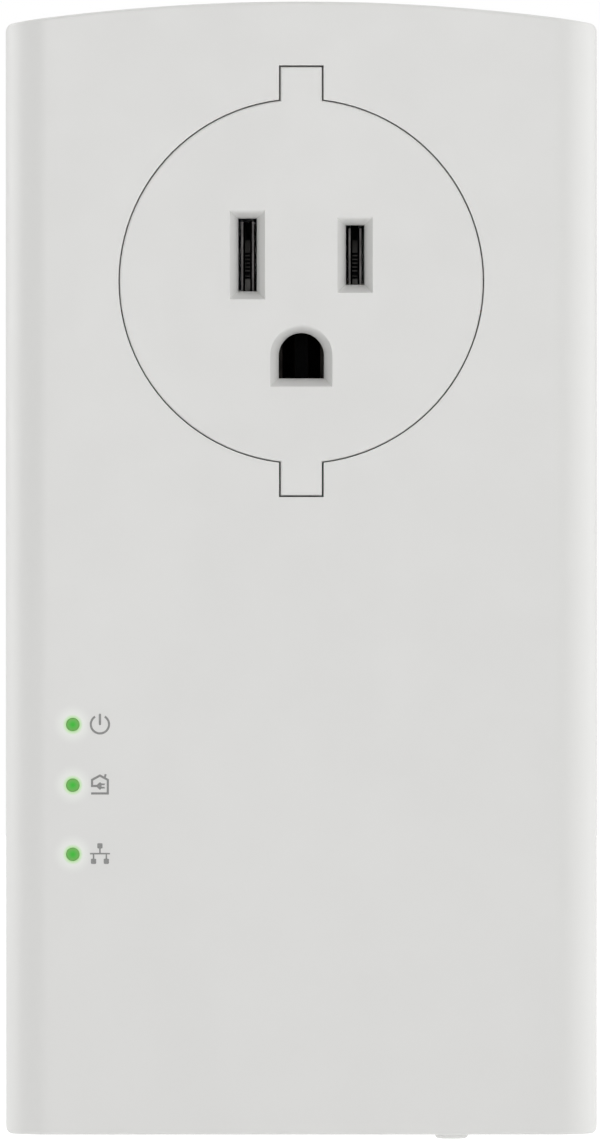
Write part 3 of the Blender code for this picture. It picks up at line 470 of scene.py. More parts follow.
def piece(name, mesh, slot, *replaces, look=None, body="root", crease=35):
    """Makes a finished piece of the object from a bmesh in millimetres.

    It wears its slot's material, unless another look is named.
    """
    bmesh.ops.remove_doubles(mesh, verts=mesh.verts, dist=0.0005)
    bmesh.ops.scale(mesh, verts=mesh.verts, vec=(MM, MM, MM))
    data = mesh_data(name, mesh)
    data.shade_smooth()
    data.set_sharp_from_angle(angle=math.radians(crease))
    data.materials.append(looks[look or slot])
    obj = add_object(name, data)
    weigh_normals(obj)
    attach(obj, body)
    if replaces:
        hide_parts(*replaces)
    return obj


def weigh_normals(obj):
    """Lets each flat face keep its own direction where it meets a round."""
    modifier = obj.modifiers.new("Weighted normals", "WEIGHTED_NORMAL")
    modifier.keep_sharp = True
    modifier.weight = 80


# ---- Materials ----


class Nodes:
    """Builds a node tree from values, colours and sockets."""

    def __init__(self, tree):
        self.tree = tree

    def add(self, kind):
        return self.tree.nodes.new("ShaderNode" + kind)

    def set(self, node, inputs):
        """Sets or links inputs, whose names may use _ for a space."""
        for name, value in inputs.items():
            key = name.replace("_", " ") if isinstance(name, str) else name
            if isinstance(value, bpy.types.NodeSocket):
                self.tree.links.new(value, node.inputs[key])
            else:
                node.inputs[key].default_value = value

    def ramp(self, value, low, high, to_low=0.0, to_high=1.0):
        """Maps low..high of a value smoothly to two other numbers, clamped."""
        node = self.add("MapRange")
        node.interpolation_type = "SMOOTHSTEP"
        self.set(node, {"Value": value, 1: low, 2: high, 3: to_low, 4: to_high})
        return node.outputs["Result"]

    def math(self, operation, first, second=0.0):
        node = self.add("Math")
        node.operation = operation
        self.set(node, {0: first, 1: second})
        return node.outputs[0]

    def plus(self, first, second):
        return self.math("ADD", first, second)

    def times(self, first, second):
        return self.math("MULTIPLY", first, second)

    def mix(self, factor, first, second):
        """A blend of two colours, each a colour or a socket."""
        node = self.add("Mix")
        node.data_type = "RGBA"
        values = {0: factor, 6: first, 7: second}
        for key, value in values.items():
            self.set(node, {key: (*value, 1.0) if isinstance(value, tuple) else value})
        return node.outputs[2]


class Finish(Nodes):
    """A node material. Textures are laid out in object space, in millimetres."""

    def __init__(self, name, roughness, metallic=0.0, **inputs):
        self.material = bpy.data.materials.new(name)
        self.material.use_nodes = True
        super().__init__(self.material.node_tree)
        self.shader = self.tree.nodes["Principled BSDF"]
        self.set(self.shader, {"Roughness": roughness, "Metallic": metallic, **inputs})
        self.place = self.stretch(self.add("TexCoord").outputs["Object"], (1 / MM,) * 3)

    def stretch(self, vector, scale):
        node = self.add("Mapping")
        self.set(node, {"Vector": vector, "Scale": scale})
        return node.outputs["Vector"]

    def texture(self, kind, size, stretch, **inputs):
        """A texture whose features are about size millimetres across."""
        node = self.add(kind)
        self.set(node, {"Vector": self.stretch(self.place, stretch), "Scale": 1 / size, **inputs})
        return node

    def noise(self, size, detail=2.0, stretch=(1, 1, 1), distortion=0.0):
        return self.texture("TexNoise", size, stretch, Detail=detail, Distortion=distortion).outputs["Fac"]

    def cells(self, size, feature="F1", stretch=(1, 1, 1), randomness=1.0):
        node = self.texture("TexVoronoi", size, stretch, Randomness=randomness)
        node.feature = feature
        return node.outputs["Distance"]

    def axis(self, name):
        node = self.add("SeparateXYZ")
        self.set(node, {"Vector": self.place})
        return node.outputs[name]

    def nearest_light(self):
        """Distance from the middle of the nearest indicator, in millimetres."""
        nearest = None
        for z in LIGHTS:
            node = self.add("VectorMath")
            node.operation = "DISTANCE"
            self.set(node, {0: self.place, 1: (LIGHT_X, FRONT_Y, z)})
            away = node.outputs["Value"]
            nearest = self.math("MINIMUM", nearest, away) if nearest else away
        return nearest

    def shade(self, pattern, first, second, ends=(0.3, 0.7)):
        """Colours the surface from one tone to another as a pattern rises between two values."""
        self.set(self.shader, {"Base_Color": self.mix(self.ramp(pattern, *ends), first, second)})

    def sheen(self, pattern, low, high):
        """Spreads the roughness between two values, along a pattern."""
        self.set(self.shader, {"Roughness": self.ramp(pattern, 0.3, 0.7, low, high)})

    def emit(self, colour, strength):
        self.set(self.shader, {"Emission_Color": (*colour, 1.0), "Emission_Strength": strength})

    def bump(self, height, depth, normal=None):
        """Adds relief of that depth in millimetres, on top of an earlier relief."""
        node = self.add("Bump")
        self.set(node, {"Strength": 1.0, "Distance": depth * MM, "Height": height})
        if normal:
            self.set(node, {"Normal": normal})
        self.set(self.shader, {"Normal": node.outputs["Normal"]})
        return node.outputs["Normal"]


def dimmed(colour, factor):
    return tuple(c * factor for c in colour)


def moulded(name, colour, roughness, grain, depth, variation):
    """Moulded plastic: a fine grain, faint flow marks and an uneven sheen."""
    made = Finish(name, roughness, IOR=1.5)
    flow = made.noise(18.0, 3.0, (1, 1, 0.35), 0.6)
    made.shade(flow, dimmed(colour, 1 - variation), colour, (0.35, 0.65))
    made.sheen(made.noise(4.0, 4.0), roughness - 0.03, roughness + 0.04)
    relief = made.bump(made.noise(grain, 2.0), depth)
    made.bump(made.noise(grain * 14, 1.0), depth * 2.5, relief)
    return made


def metal(name, colour, roughness, along=(1, 1, 1), grain=0.25, depth=0.0012, wear=0.12):
    """Rolled or plated metal: fine drawing lines, a cloudy sheen and small scratches."""
    made = Finish(name, roughness, 1.0)
    clouds = made.noise(3.5, 3.0)
    made.shade(clouds, dimmed(colour, 1 - wear), colour)
    made.sheen(clouds, roughness - 0.05, roughness + 0.08)
    relief = made.bump(made.noise(grain, 4.0, along), depth)
    scratches = made.cells(1.6, "DISTANCE_TO_EDGE", (along[0] * 3, along[1], along[2] * 3))
    made.bump(made.ramp(scratches, 0.0, 0.02), depth * 1.2, relief)
    return made


def two_tone(name, roughness, tones, noise, depth, ends=(0.3, 0.7), metallic=0.0, **inputs):
    """A material between two tones, whose relief follows the same noise."""
    made = Finish(name, roughness, metallic, **inputs)
    pattern = made.noise(*noise)
    made.shade(pattern, *tones, ends)
    made.bump(pattern, depth)
    return made


SATIN_WHITE = ((0.708, 0.706, 0.692), 0.36, 0.22, 0.0016, 0.012)  # tone, roughness, grain, its depth, flow


def shell_plastic():
    """Satin white, with light from the indicators spreading through the wall round each tip."""
    made = moulded("satin_white_plastic", *SATIN_WHITE)
    base = made.shader.inputs["Base Color"].links[0].from_socket
    nearest = made.nearest_light()
    made.shade(nearest, (0.42, 0.68, 0.31), base, (LIGHT_RADIUS, LIGHT_RADIUS + 0.5))
    made.emit((0.85, 1.0, 0.82), made.ramp(nearest, LIGHT_RADIUS, LIGHT_RADIUS + 1.8, 0.10, 0.0))
    return made


def outlet_plastic():
    return moulded("outlet_white_plastic", *SATIN_WHITE)


def rear_plastic():
    """The rear half has a coarser spark-eroded texture."""
    return moulded("textured_white_plastic", (0.71, 0.707, 0.694), 0.52, 0.45, 0.006, 0.02)


def black_plastic():
    return moulded("black_plastic", (0.022, 0.022, 0.024), 0.5, 0.3, 0.004, 0.2)


def yellow_plastic():
    """Glossy yellow case with a trace of sink marks."""
    return moulded("yellow_case", (0.80, 0.60, 0.08), 0.32, 0.4, 0.003, 0.08)


def liner():
    """Near-black carrier behind the outlet's face, with a fine grain and little shine; its near-black tone
    is painted shade for the inside of the slots.
    """
    # far darker than real black plastic: painted shade inside the slots
    tones = (0.0025, 0.0025, 0.0028), (0.0045, 0.0045, 0.005)
    return two_tone("painted_shade_black_liner", 0.8, tones, (0.3, 3.0), 0.006, Specular_IOR_Level=0.15)


def contact_brass():
    """Spring bronze, drawn along its length. The part seen through the slot is darkened as painted shade:
    dull at the mouth, near black behind it; the bronze's own colour shows only deep inside.
    """
    made = Finish("spring_bronze", 0.42, 1.0)
    depth = made.plus(made.axis("Y"), made.times(made.noise(1.2, 3.0), 0.5))
    # painted shade: the seen tone fades from dull dark at the mouth to near black deeper in the slot
    mouth = made.ramp(depth, FRONT_Y + 3.6, FRONT_Y + 5.6)
    seen = made.mix(mouth, (0.088, 0.086, 0.083), (0.010, 0.009, 0.008))
    # the bronze's own colour only starts far behind the part seen through the slot
    made.shade(depth, seen, (0.48, 0.34, 0.17), (FRONT_Y + 12.0, FRONT_Y + 15.0))
    made.sheen(made.noise(1.6, 3.0), 0.36, 0.52)
    made.bump(made.noise(0.25, 4.0, (1, 0.08, 1)), 0.0015)
    return made


def plated_blade():
    """Nickel plate, rubbed towards brass near the tips."""
    made = Finish("nickel_plate", 0.24, 1.0)
    near_tip = made.ramp(made.axis("Y"), HOT_HIGH.y - 5.8, HOT_HIGH.y + 1.2)
    worn = made.times(near_tip, made.ramp(made.noise(1.4, 4.0), 0.45, 0.7))
    clouds = made.ramp(made.noise(4.0, 3.0), 0.3, 0.7)
    plate = made.mix(clouds, (0.56, 0.55, 0.52), (0.66, 0.65, 0.62))
    made.set(made.shader, {"Base_Color": made.mix(made.times(worn, 0.5), plate, (0.66, 0.53, 0.30))})
    made.sheen(made.noise(0.5, 3.0, (1, 0.1, 1)), 0.20, 0.30)
    made.bump(made.noise(0.16, 4.0, (1, 0.06, 1)), 0.0006)
    return made


def gold_contact():
    return metal("gold_flash", (0.83, 0.62, 0.26), 0.25, (1, 1, 0.1), 0.12, 0.0008)


def heatsink_metal():
    return metal("extruded_aluminium", (0.66, 0.67, 0.69), 0.4, (1, 1, 0.05), 0.2, 0.0012, 0.05)


def tinned_steel():
    return metal("tinned_steel", (0.60, 0.61, 0.62), 0.28, (1, 1, 0.1), 0.3, 0.002)


def screw_steel():
    return metal("zinc_plated_steel", (0.56, 0.57, 0.59), 0.3, grain=0.3, depth=0.003)


def can():
    return metal("can_aluminium", (0.70, 0.71, 0.72), 0.35, grain=0.3, depth=0.002)


def solder():
    tones = (0.50, 0.51, 0.52), (0.72, 0.73, 0.74)
    return two_tone("solder", 0.3, tones, (0.5, 3.0), 0.02, metallic=1.0)


def board_laminate():
    """Green solder mask over copper: pours in some places, and bundles of tracks in the others."""
    made = Finish("solder_mask", 0.35, IOR=1.5)
    track_pitch = 1.1
    bend = made.times(made.ramp(made.noise(5.0, 0.0), 0.46, 0.54), 0.6)

    def tracks(axis):
        """Lines across an axis, which step aside here and there."""
        phase = made.times(made.plus(made.axis(axis), bend), 2 * math.pi / track_pitch)
        return made.ramp(made.math("SINE", phase), -0.1, 0.1)

    upright = made.ramp(made.noise(11.0, 0.0), 0.485, 0.495)
    across = made.math("SUBTRACT", 1.0, upright)
    lines = made.plus(made.times(tracks("X"), upright), made.times(tracks("Z"), across))
    pour = made.ramp(made.noise(14.0, 1.0, (1, 1, 1.6)), 0.50, 0.505)
    copper = made.math("MAXIMUM", lines, pour)
    fibres = made.ramp(made.noise(0.6, 3.0, (1, 1, 0.3)), 0.3, 0.7)
    bare = made.mix(fibres, (0.012, 0.095, 0.038), (0.016, 0.110, 0.046))
    covered = made.mix(fibres, (0.019, 0.145, 0.057), (0.025, 0.165, 0.068))
    vias = made.ramp(made.cells(4.2, randomness=0.7), 0.09, 0.11, 1.0, 0.0)
    surface = made.mix(vias, made.mix(copper, bare, covered), (0.62, 0.60, 0.55))
    made.set(made.shader, {"Base_Color": surface, "Metallic": vias})
    made.bump(made.plus(copper, vias), 0.03)
    return made


def insulating_film():
    """Pressed paper board with long pale fibres."""
    tones = (0.60, 0.56, 0.44), (0.78, 0.75, 0.65)
    fibres = (0.5, 5.0, (1, 1, 0.15), 1.5)
    return two_tone("insulating_paper", 0.72, tones, fibres, 0.02, (0.35, 0.65), IOR=1.45)


def chip_resin():
    """Moulded resin with fine filler grains."""
    tones = (0.018, 0.018, 0.020), (0.045, 0.045, 0.048)
    made = two_tone("chip_resin", 0.55, tones, (0.12, 2.0), 0.008, (0.4, 0.62), IOR=1.55)
    made.sheen(made.noise(2.0, 2.0), 0.48, 0.62)
    return made


def capacitor_sleeve():
    """Dark shrink sleeve, with a pale stripe down its negative side."""
    made = Finish("shrink_sleeve", 0.3, IOR=1.5, Coat_Weight=0.3)
    wrinkle = made.noise(2.5, 2.0, (0.4, 2.5, 0.4))
    dark = made.mix(made.ramp(wrinkle, 0.3, 0.7), (0.018, 0.020, 0.045), (0.030, 0.034, 0.070))
    stripe_end = span("bulk_capacitor_upper")[0].x + 1.45
    made.shade(made.axis("X"), (0.42, 0.43, 0.46), dark, (stripe_end, stripe_end + 0.1))
    made.bump(wrinkle, 0.04)
    return made


def ferrite():
    """Sintered ferrite: dark, grainy, with a slight shine."""
    made = Finish("sintered_ferrite", 0.55, IOR=1.9)
    grain = made.cells(0.22)
    made.shade(grain, (0.020, 0.020, 0.023), (0.060, 0.058, 0.060), (0.1, 0.7))
    made.sheen(made.noise(1.5, 3.0), 0.45, 0.65)
    made.bump(grain, 0.015)
    return made


def copper_winding():
    """Enamelled wire: clear brown coat over copper."""
    made = Finish("enamelled_copper", 0.3, 1.0, Coat_Weight=0.8, Coat_Roughness=0.15)
    made.shade(made.noise(1.6, 3.0), (0.48, 0.17, 0.07), (0.74, 0.30, 0.13))
    made.bump(made.noise(0.2, 2.0), 0.003)
    return made


def varistor_coat():
    """Thick blue dipped lacquer with an orange-peel surface."""
    tones = (0.012, 0.060, 0.26), (0.022, 0.10, 0.38)
    return two_tone("blue_lacquer", 0.25, tones, (0.9, 2.0), 0.03, IOR=1.55, Coat_Weight=0.4)


def thermal_pad():
    """Soft filled silicone with visible grains."""
    tones = (0.26, 0.32, 0.44), (0.42, 0.49, 0.62)
    return two_tone("thermal_silicone", 0.85, tones, (0.25, 4.0), 0.03, (0.35, 0.65), IOR=1.42)


def led_resin():
    """Clear resin over a phosphor dot."""
    tones = (0.70, 0.72, 0.50), (0.86, 0.86, 0.74)
    return two_tone("led_resin", 0.2, tones, (0.5, 2.0), 0.01, IOR=1.53)


def light_pipe():
    """Lit green resin: bright in the middle of each tip, deeper towards its rim."""
    made = Finish("lit_green_resin", 0.3, IOR=1.5, Specular_IOR_Level=0.3)
    edge = made.plus(made.nearest_light(), made.times(made.noise(0.3, 2.0), 0.1))
    made.shade(edge, (0.012, 0.26, 0.010), (0.145, 0.335, 0.085), (0.10, 0.84))
    made.emit((0.05, 0.62, 0.03), made.ramp(edge, 0.2, 0.85, 0.32, 0.10))
    made.bump(made.noise(0.4, 1.0), 0.002)
    return made


def vinyl(name, colour):
    """Extruded sleeve: glossy along the wire, with tiny drag lines."""
    tones = dimmed(colour, 0.85), colour
    return two_tone(name, 0.38, tones, (0.5, 3.0, (1, 0.2, 1)), 0.006, IOR=1.52)


def white_wire():
    return vinyl("white_vinyl", (0.76, 0.76, 0.74))


def black_wire():
    return vinyl("black_vinyl", (0.022, 0.022, 0.024))


def ink():
    """Grey pad print, slightly uneven where the ink is thin."""
    tones = (0.27, 0.27, 0.265), (0.235, 0.235, 0.23)
    return two_tone("grey_ink", 0.55, tones, (0.18, 3.0), 0.002, (0.35, 0.6), IOR=1.5)


def label():
    """Blank silver-white polyester film."""
    made = Finish("blank_label_film", 0.42, 0.0, IOR=1.55, Coat_Weight=0.25, Coat_Roughness=0.3)
    made.shade(made.noise(6.0, 3.0), (0.600, 0.600, 0.595), (0.612, 0.612, 0.607))
    made.bump(made.noise(1.2, 2.0), 0.001)
    return made


# Each function is named after its slot in the record, or after a detail within a slot.
MATERIALS = (
    shell_plastic, outlet_plastic, rear_plastic, plated_blade, contact_brass, gold_contact, board_laminate,
    insulating_film, black_plastic, chip_resin, yellow_plastic, capacitor_sleeve, ferrite, copper_winding,
    varistor_coat, thermal_pad, heatsink_metal, tinned_steel, screw_steel, led_resin, light_pipe,
    white_wire, black_wire, liner, ink, label, solder, can,
)
looks = {make.__name__: make().material for make in MATERIALS}


# ---- Housing ----


def vent_cutters():
    """Rounded slots through the sides, top and bottom of the rear shell."""
    half, soft, flare = VENT_HALF_WIDTH, VENT_HALF_WIDTH * 0.9, 0.25
    cutters = []
    for side in (-1, 1):
        for z in SIDE_VENT_Z:
            slot = soft_hole(SIDE_VENT_Y, about(z, half), soft, 4)
            cutters.append(flared("X", slot, side * HALF_WIDTH, side * (HALF_WIDTH - WALL - 1), flare))
    for x in END_VENT_X:
        slot = soft_hole(about(x, half), END_VENT_Y, soft, 4)
        top = TOP_Z - (TOP_RADIUS - math.sqrt(TOP_RADIUS**2 - x**2))
        cutters.append(flared("Z", slot, top, TOP_Z - WALL - 2, flare))
        cutters.append(flared("Z", slot, BOTTOM_Z, INNER_BOTTOM_Z + 1, flare))
    return cutters


def make_front_shell():
    edge = SPLIT_Y - SPLIT_GAP / 2
    shell = body_block(0, FRONT_Y, edge, FACE_ROUND, JOINT_ROUND)
    shell = cut(shell, body_block(WALL, FRONT_Y + WALL, edge + 6, 0.6, 0.3, 5, 2))
    shell = cut(shell, body_block(WALL / 2, REAR_LOW.y - 0.3, edge + 4, 0.2, 0.2, 5, 2))
    root = FRONT_Y + 1.2
    logic_front = LOGIC_FACE_Y - 0.3
    shell = fuse(
        shell,
        *posts(SHELL_SCREWS, FRONT_POST_RADIUS, root, POST_JOINT_Y),
        *posts(OUTLET_SCREWS, BOSS_RADIUS, root, EAR_Y[0] - 0.3),
        *posts(LOGIC_SCREWS, BOSS_RADIUS, root, logic_front),
    )
    through = FRONT_Y + WALL + 1
    below = (BOTTOM_Z, INNER_BOTTOM_Z + 1)
    port_mouth = square_hole(*[(low - PORT_GAP, high + PORT_GAP) for low, high in ranges("port_shield")[:2]])
    lights = [Vector((LIGHT_X, 0, z)) for z in LIGHTS]
    shell = cut(
        shell,
        flared("Y", lambda grow: keyed_circle(SEAM + grow, TAB_SEAM + grow), FRONT_Y, through, SEAM_ROUND),
        flared("Z", port_mouth, *below, 0.2),
        flared("Z", round_hole((BUTTON_X, BUTTON_Y), BUTTON_RADIUS + 0.2, 48), *below, 0.15),
        flared("Z", round_hole((RESET_X, BUTTON_Y), RESET_RADIUS, 32), *below, 0.15),
        *posts(lights, LIGHT_RADIUS + 0.02, FRONT_Y - 1, through, 48),
        *posts(SHELL_SCREWS, 1.3, POST_BORE_Y, POST_JOINT_Y + 1),
        *posts(OUTLET_SCREWS, BOSS_BORE, FRONT_Y + 1, EAR_Y[0] + 1),
        *posts(LOGIC_SCREWS, BOSS_BORE, FRONT_Y + 2.5, logic_front + 1),
    )
    piece("front_shell_skin", shell, "shell_plastic", "front_shell")


def make_rear_shell():
    edge = SPLIT_Y + SPLIT_GAP / 2
    shell = body_block(0, edge, BACK_Y, JOINT_ROUND, EDGE_ROUND)
    shell = fuse(shell, body_block(WALL / 2 + 0.3, REAR_LOW.y, edge + 3, 0.2, 0.2, 5, 2))
    shell = cut(shell, body_block(WALL, edge - 6, INNER_BACK_Y, 0.3, 0.6, 5, 2))
    root = BACK_Y - 1.2
    shell = fuse(
        shell,
        *posts(SHELL_SCREWS, REAR_POST_RADIUS, POST_JOINT_Y + 0.3, root),
        *posts(POWER_SCREWS, BOSS_RADIUS, POWER_BACK_Y + 0.3, root),
    )
    shell = cut(
        shell,
        flared("Y", round_hole((0, OUTLET_Z), PLUG_RADIUS + 0.15, 96), BACK_Y, INNER_BACK_Y - 1, 0.25),
        flared("Y", soft_hole(LABEL_X, LABEL_Z, 1.5), BACK_Y, BACK_Y - LABEL_DEPTH, 0.15),
        *[flared("Y", round_hole((at.x, at.z), 2.9, 36), BACK_Y, SCREW_SEAT_Y, 0.3) for at in SHELL_SCREWS],
        *posts(POWER_SCREWS, BOSS_BORE, POWER_BACK_Y - 1, INNER_BACK_Y - 0.2),
    )
    shell = cut(shell, *posts(SHELL_SCREWS, 1.5, POST_JOINT_Y - 0.7, SCREW_SEAT_Y + 1))
    shell = cut(shell, *vent_cutters())
    piece("rear_shell_skin", shell, "rear_plastic", "rear_shell")


def make_label():
    """A blank film label in the recess on the back."""
    floor_y = BACK_Y - LABEL_DEPTH
    outline = soft_hole(LABEL_X, LABEL_Z, 1.2 + LABEL_MARGIN)(-LABEL_MARGIN)
    piece("blank_label", prism("Y", outline, floor_y + 0.01, floor_y + 0.12), "rear_plastic", look="label")


def power_symbol(x, z):
    gap, outer, inner, bar = 32, 1.2, 0.95, 0.135
    bow = arc((x, z), outer, 90 + gap, 450 - gap, 40) + arc((x, z), inner, 450 - gap, 90 + gap, 40)
    return [bow, rounded_rectangle(*about(x, bar), z - 0.1, z + 1.27, 0.13, 4)]


def house_symbol(x, z):
    """A house whose left wall turns into the lead of a small plug."""
    wall, eave, apex, floor, lead = 0.93, 0.57, 1.08, -1.03, -0.15
    walls = [(-0.3, lead), (-wall, lead), (-wall, eave), (0, apex)]
    walls += [(wall, eave), (wall, floor), (-1.04, floor)]
    upper = [(-0.52, 0.0), (-0.12, 0.36), (0.02, 0.46), (0.17, 0.31), (0.62, 0.28), (0.52, 0.09), (0.2, 0.1)]
    plug = [(u, lead + v) for u, v in upper] + [(u, lead - v) for u, v in reversed(upper[1:])]
    chimney = stroke([(0.56, 0.84), (0.68, 1.24)], 0.24)
    return [[(x + u, z + v) for u, v in shape] for shape in (stroke(walls, 0.26), plug, chimney)]


def network_symbol(x, z):
    node, drop, line = 0.31, 0.755, 0.09
    blocks = ((0, 0.92), (-drop, -0.9), (drop, -0.9))
    shapes = [rounded_rectangle(*about(x + u, node), *about(z + v, node), 0.12, 3) for u, v in blocks]
    shapes.append(rectangle(*about(x, line), z, z + 0.8))
    shapes.append(rectangle(*about(x, 1.18), *about(z, line)))
    return shapes + [rectangle(*about(x + s * drop, line), z - 0.8, z) for s in (-1, 1)]


def make_symbols():
    """Generic symbols printed beside the lights, each raised a little to sit level with its light."""
    names, lifts = ("power", "powerline", "network"), (0.03, 0.06, 0.08)
    symbols = (power_symbol, house_symbol, network_symbol)
    for name, draw, lift, light_z in zip(names, symbols, lifts, LIGHTS):
        symbol, *others = [
            prism("Y", shape, FRONT_Y - INK, FRONT_Y + 0.05) for shape in draw(ICON_X, light_z + lift)
        ]
        for shape in others:
            symbol = fuse(symbol, shape)
        piece("symbol_" + name, symbol, "black_plastic", look="ink")


# ---- Outlet ----


def recess_cutter(outline):
    """A slot with a sloping recess round it. The slope starts sharply, but rolls in at the top.

    The top's outer part is a round that runs into a straight slope.
    """
    rings = [ring("Y", outline(RECESS, RECESS), FRONT_Y - 1)]
    for t in (0.0, 0.02, 0.06, 0.12, 0.2, 1 / 3, 0.6, 1.0):
        rolled = math.sqrt(0.75 * t) if t < 1 / 3 else 0.75 * t + 0.25
        rings.append(ring("Y", outline(RECESS * (1 - t), RECESS * (1 - rolled)), FRONT_Y + RECESS_DEPTH * t))
    rings.append(ring("Y", outline(0, 0), SKIN_BACK_Y + 1))
    return loft(rings)


def make_outlet():
    rings = []
    for u, v in arc((0, 0), INSERT_ROUND, 0, 90, 4):
        shrink = v - INSERT_ROUND
        rings.append(ring("Y", keyed_circle(shrink, shrink), FRONT_Y + INSERT_ROUND - u))
    plate = loft(rings + [ring("Y", keyed_circle(0, 0), EAR_Y[1])])
    ears = box(about(0, INSERT_HIGH.x), (EAR_Y[0], EAR_Y[1] - 0.2), about(OUTLET_Z, 3.2))
    plate = fuse(plate, ears)
    plate = cut(plate, cylinder("Y", (0, OUTLET_Z), OUTLET_RADIUS - 1.8, SKIN_BACK_Y, EAR_Y[1] + 1, 64))
    plate = cut(plate, *posts(OUTLET_SCREWS, 1.1, EAR_Y[0] - 1, EAR_Y[1] + 1))
    plate = cut(
        plate,
        recess_cutter(lambda grow, top: slot_outline(-BLADE_X, NEUTRAL_SLOT, grow, top)),
        recess_cutter(lambda grow, top: slot_outline(BLADE_X, HOT_SLOT, grow, top)),
        recess_cutter(ground_outline),
    )
    piece("outlet_face", plate, "outlet_plastic", "outlet_insert")


def make_outlet_towers():
    """Carriers behind the slots hold the contacts. The ground one has a floor behind its hole. All wear a
    near-black look that is painted shade for the slots.
    """
    front = SKIN_BACK_Y + 0.02
    towers = []
    shapes = ((-BLADE_X, 0, 3.4, 6.3, 1.4), (BLADE_X, 0, 3.4, 5.5, 1.4), (0, GROUND_Z, 4.6, 4.6, 1.3))
    for x, z, wide, tall, thick in shapes:
        shell = box(about(x, wide), (front, TOWER_BACK_Y), about(z, tall))
        room = box(about(x, wide - thick), (front - 1, TOWER_BACK_Y + 1), about(z, tall - thick))
        towers.append(cut(shell, room))
    for x in (-BLADE_X, BLADE_X):
        towers.append(box(about(x, 0.27), (RUNG_Y[1] - 0.05, CONTACT_WEB_Y - 4.0), (-4.6, 1.7)))
        towers.append(box(about(x, 0.42), (CONTACT_WEB_Y - 4.8, CONTACT_WEB_Y - 0.3), (-4.6, 4.2)))
    floor_y = span("ground_contact")[0].y + 9.3
    towers.append(box(about(0, 2.1), (floor_y, floor_y + 0.8), about(GROUND_Z, 3.3)))
    # the near-black liner look is painted shade inside the slots and the grounding hole
    piece("outlet_towers", together(*towers), "black_plastic", look="liner")


def leaf(x, mouth, waist, depths, thick, low_z, high_z):
    """One spring leaf, seen from above: it narrows from its mouth to its waist and widens to its root.

    mouth and waist are the outer face's distances from the contact's middle, signed for the side.
    depths holds the y of the mouth, waist and root.
    """
    side = math.copysign(1, mouth)
    mouth_y, waist_y, root_y = depths
    line = [(mouth, mouth_y), (mouth, mouth_y + 1.1), (waist, waist_y), (side * 0.82, root_y)]
    path = smooth_path([(u, y, 0) for u, y in line], 6)
    outline = stroke([(x + p.x - side * thick / 2, p.y) for p in path], thick)
    return prism("Z", outline, low_z, high_z)


def make_blade_contact(name, side, slot):
    """Two leaves, with a row of small rungs that is seen between them."""
    low, high = span(name)
    x, half = side * BLADE_X, (high.x - low.x) / 2
    tall = (slot[0] - 0.2, slot[1] - 0.34)
    depths = (low.y + 0.05, CONTACT_WEB_Y - 5.5, CONTACT_WEB_Y)
    parts = [leaf(x, s * 0.75, s * 0.6, depths, 0.22, *tall) for s in (-1, 1)]
    parts.append(box(about(x, half), (CONTACT_WEB_Y, CONTACT_WEB_Y + 0.3), tall))
    parts.append(box(about(x, 0.4), (CONTACT_WEB_Y + 0.3, high.y), (-2.0, 2.0)))
    wide, (front, back) = about(x, 0.3), RUNG_Y
    rungs = [0.05 - RUNG_PITCH * i for i in range(5)] + [-2.36]
    parts += [box(wide, RUNG_Y, about(z, 0.06)) for z in rungs]
    parts.append(box(wide, (front - 0.3, back), (tall[0], rungs[-1] - 0.37)))
    slope_low, slope_high = 0.4, 1.88
    slope = [(front - 0.15, slope_low), (front + 0.15, slope_high), (back, slope_high), (back, slope_low)]
    parts.append(prism("X", slope, *wide))
    piece(name + "_leaves", together(*parts), "contact_brass", name)


def make_ground_contact():
    """Two leaves on a web, with a strap towards the ground pin."""
    low, high = span("ground_contact")
    half, thick, tall = (high.x - low.x) / 2, 0.5, (-2.7, 2.7)
    depths = (low.y + 3.2, CONTACT_WEB_Y - 5.0, CONTACT_WEB_Y)
    leaves = [leaf(0, s * half, s * (half - 0.25), depths, thick, *tall) for s in (-1, 1)]
    web = box(about(0, half), (CONTACT_WEB_Y, CONTACT_WEB_Y + thick), tall)
    strap = box(about(0, 2.0), (CONTACT_WEB_Y + thick, high.y), about(0, 0.4))
    contact = shift(together(*leaves, web, strap), (0, 0, GROUND_Z))
    piece("ground_contact_leaves", contact, "contact_brass", "ground_contact")


# ---- Plug ----


def make_plug_base():
    radius, flange, behind = PLUG_RADIUS, PLUG_HIGH.x, PLUG_LOW.y - 1
    room_x, room_z = (HOT_HIGH.x - HOT_LOW.x) / 2 + 0.1, HOT_HIGH.z + 0.1
    profile = [(flange, PLUG_LOW.y), (flange, INNER_BACK_Y - 0.3), (radius, INNER_BACK_Y - 0.3)]
    profile += arc((radius - PLUG_ROUND, -PLUG_ROUND), PLUG_ROUND, 0, 90, 6)
    groove = (13.2, 12.2)  # a ring sunk round the blades and the pin
    profile += [(groove[0], 0.0), (groove[0] - 0.2, -0.12), (groove[1] + 0.2, -0.12), (groove[1], 0.0)]
    base = turned("Y", (0, OUTLET_Z), profile, 96)
    mouths = [round_hole((0, GROUND_Z), PIN_RADIUS + PLUG_GAP, 40)]
    rooms = []
    for x in (-BLADE_X, BLADE_X):
        mouths.append(square_hole(about(x, BLADE_THICK / 2 + PLUG_GAP), about(0, BLADE_WIDE / 2 + PLUG_GAP)))
        rooms.append(box(about(x, room_x), (behind, BLADE_SHOULDER_Y + 0.2), about(0, room_z)))
    base = cut(base, *[flared("Y", mouth, 0, behind, 0.15) for mouth in mouths])
    piece("plug_face", cut(base, *rooms), "rear_plastic", "plug_base")


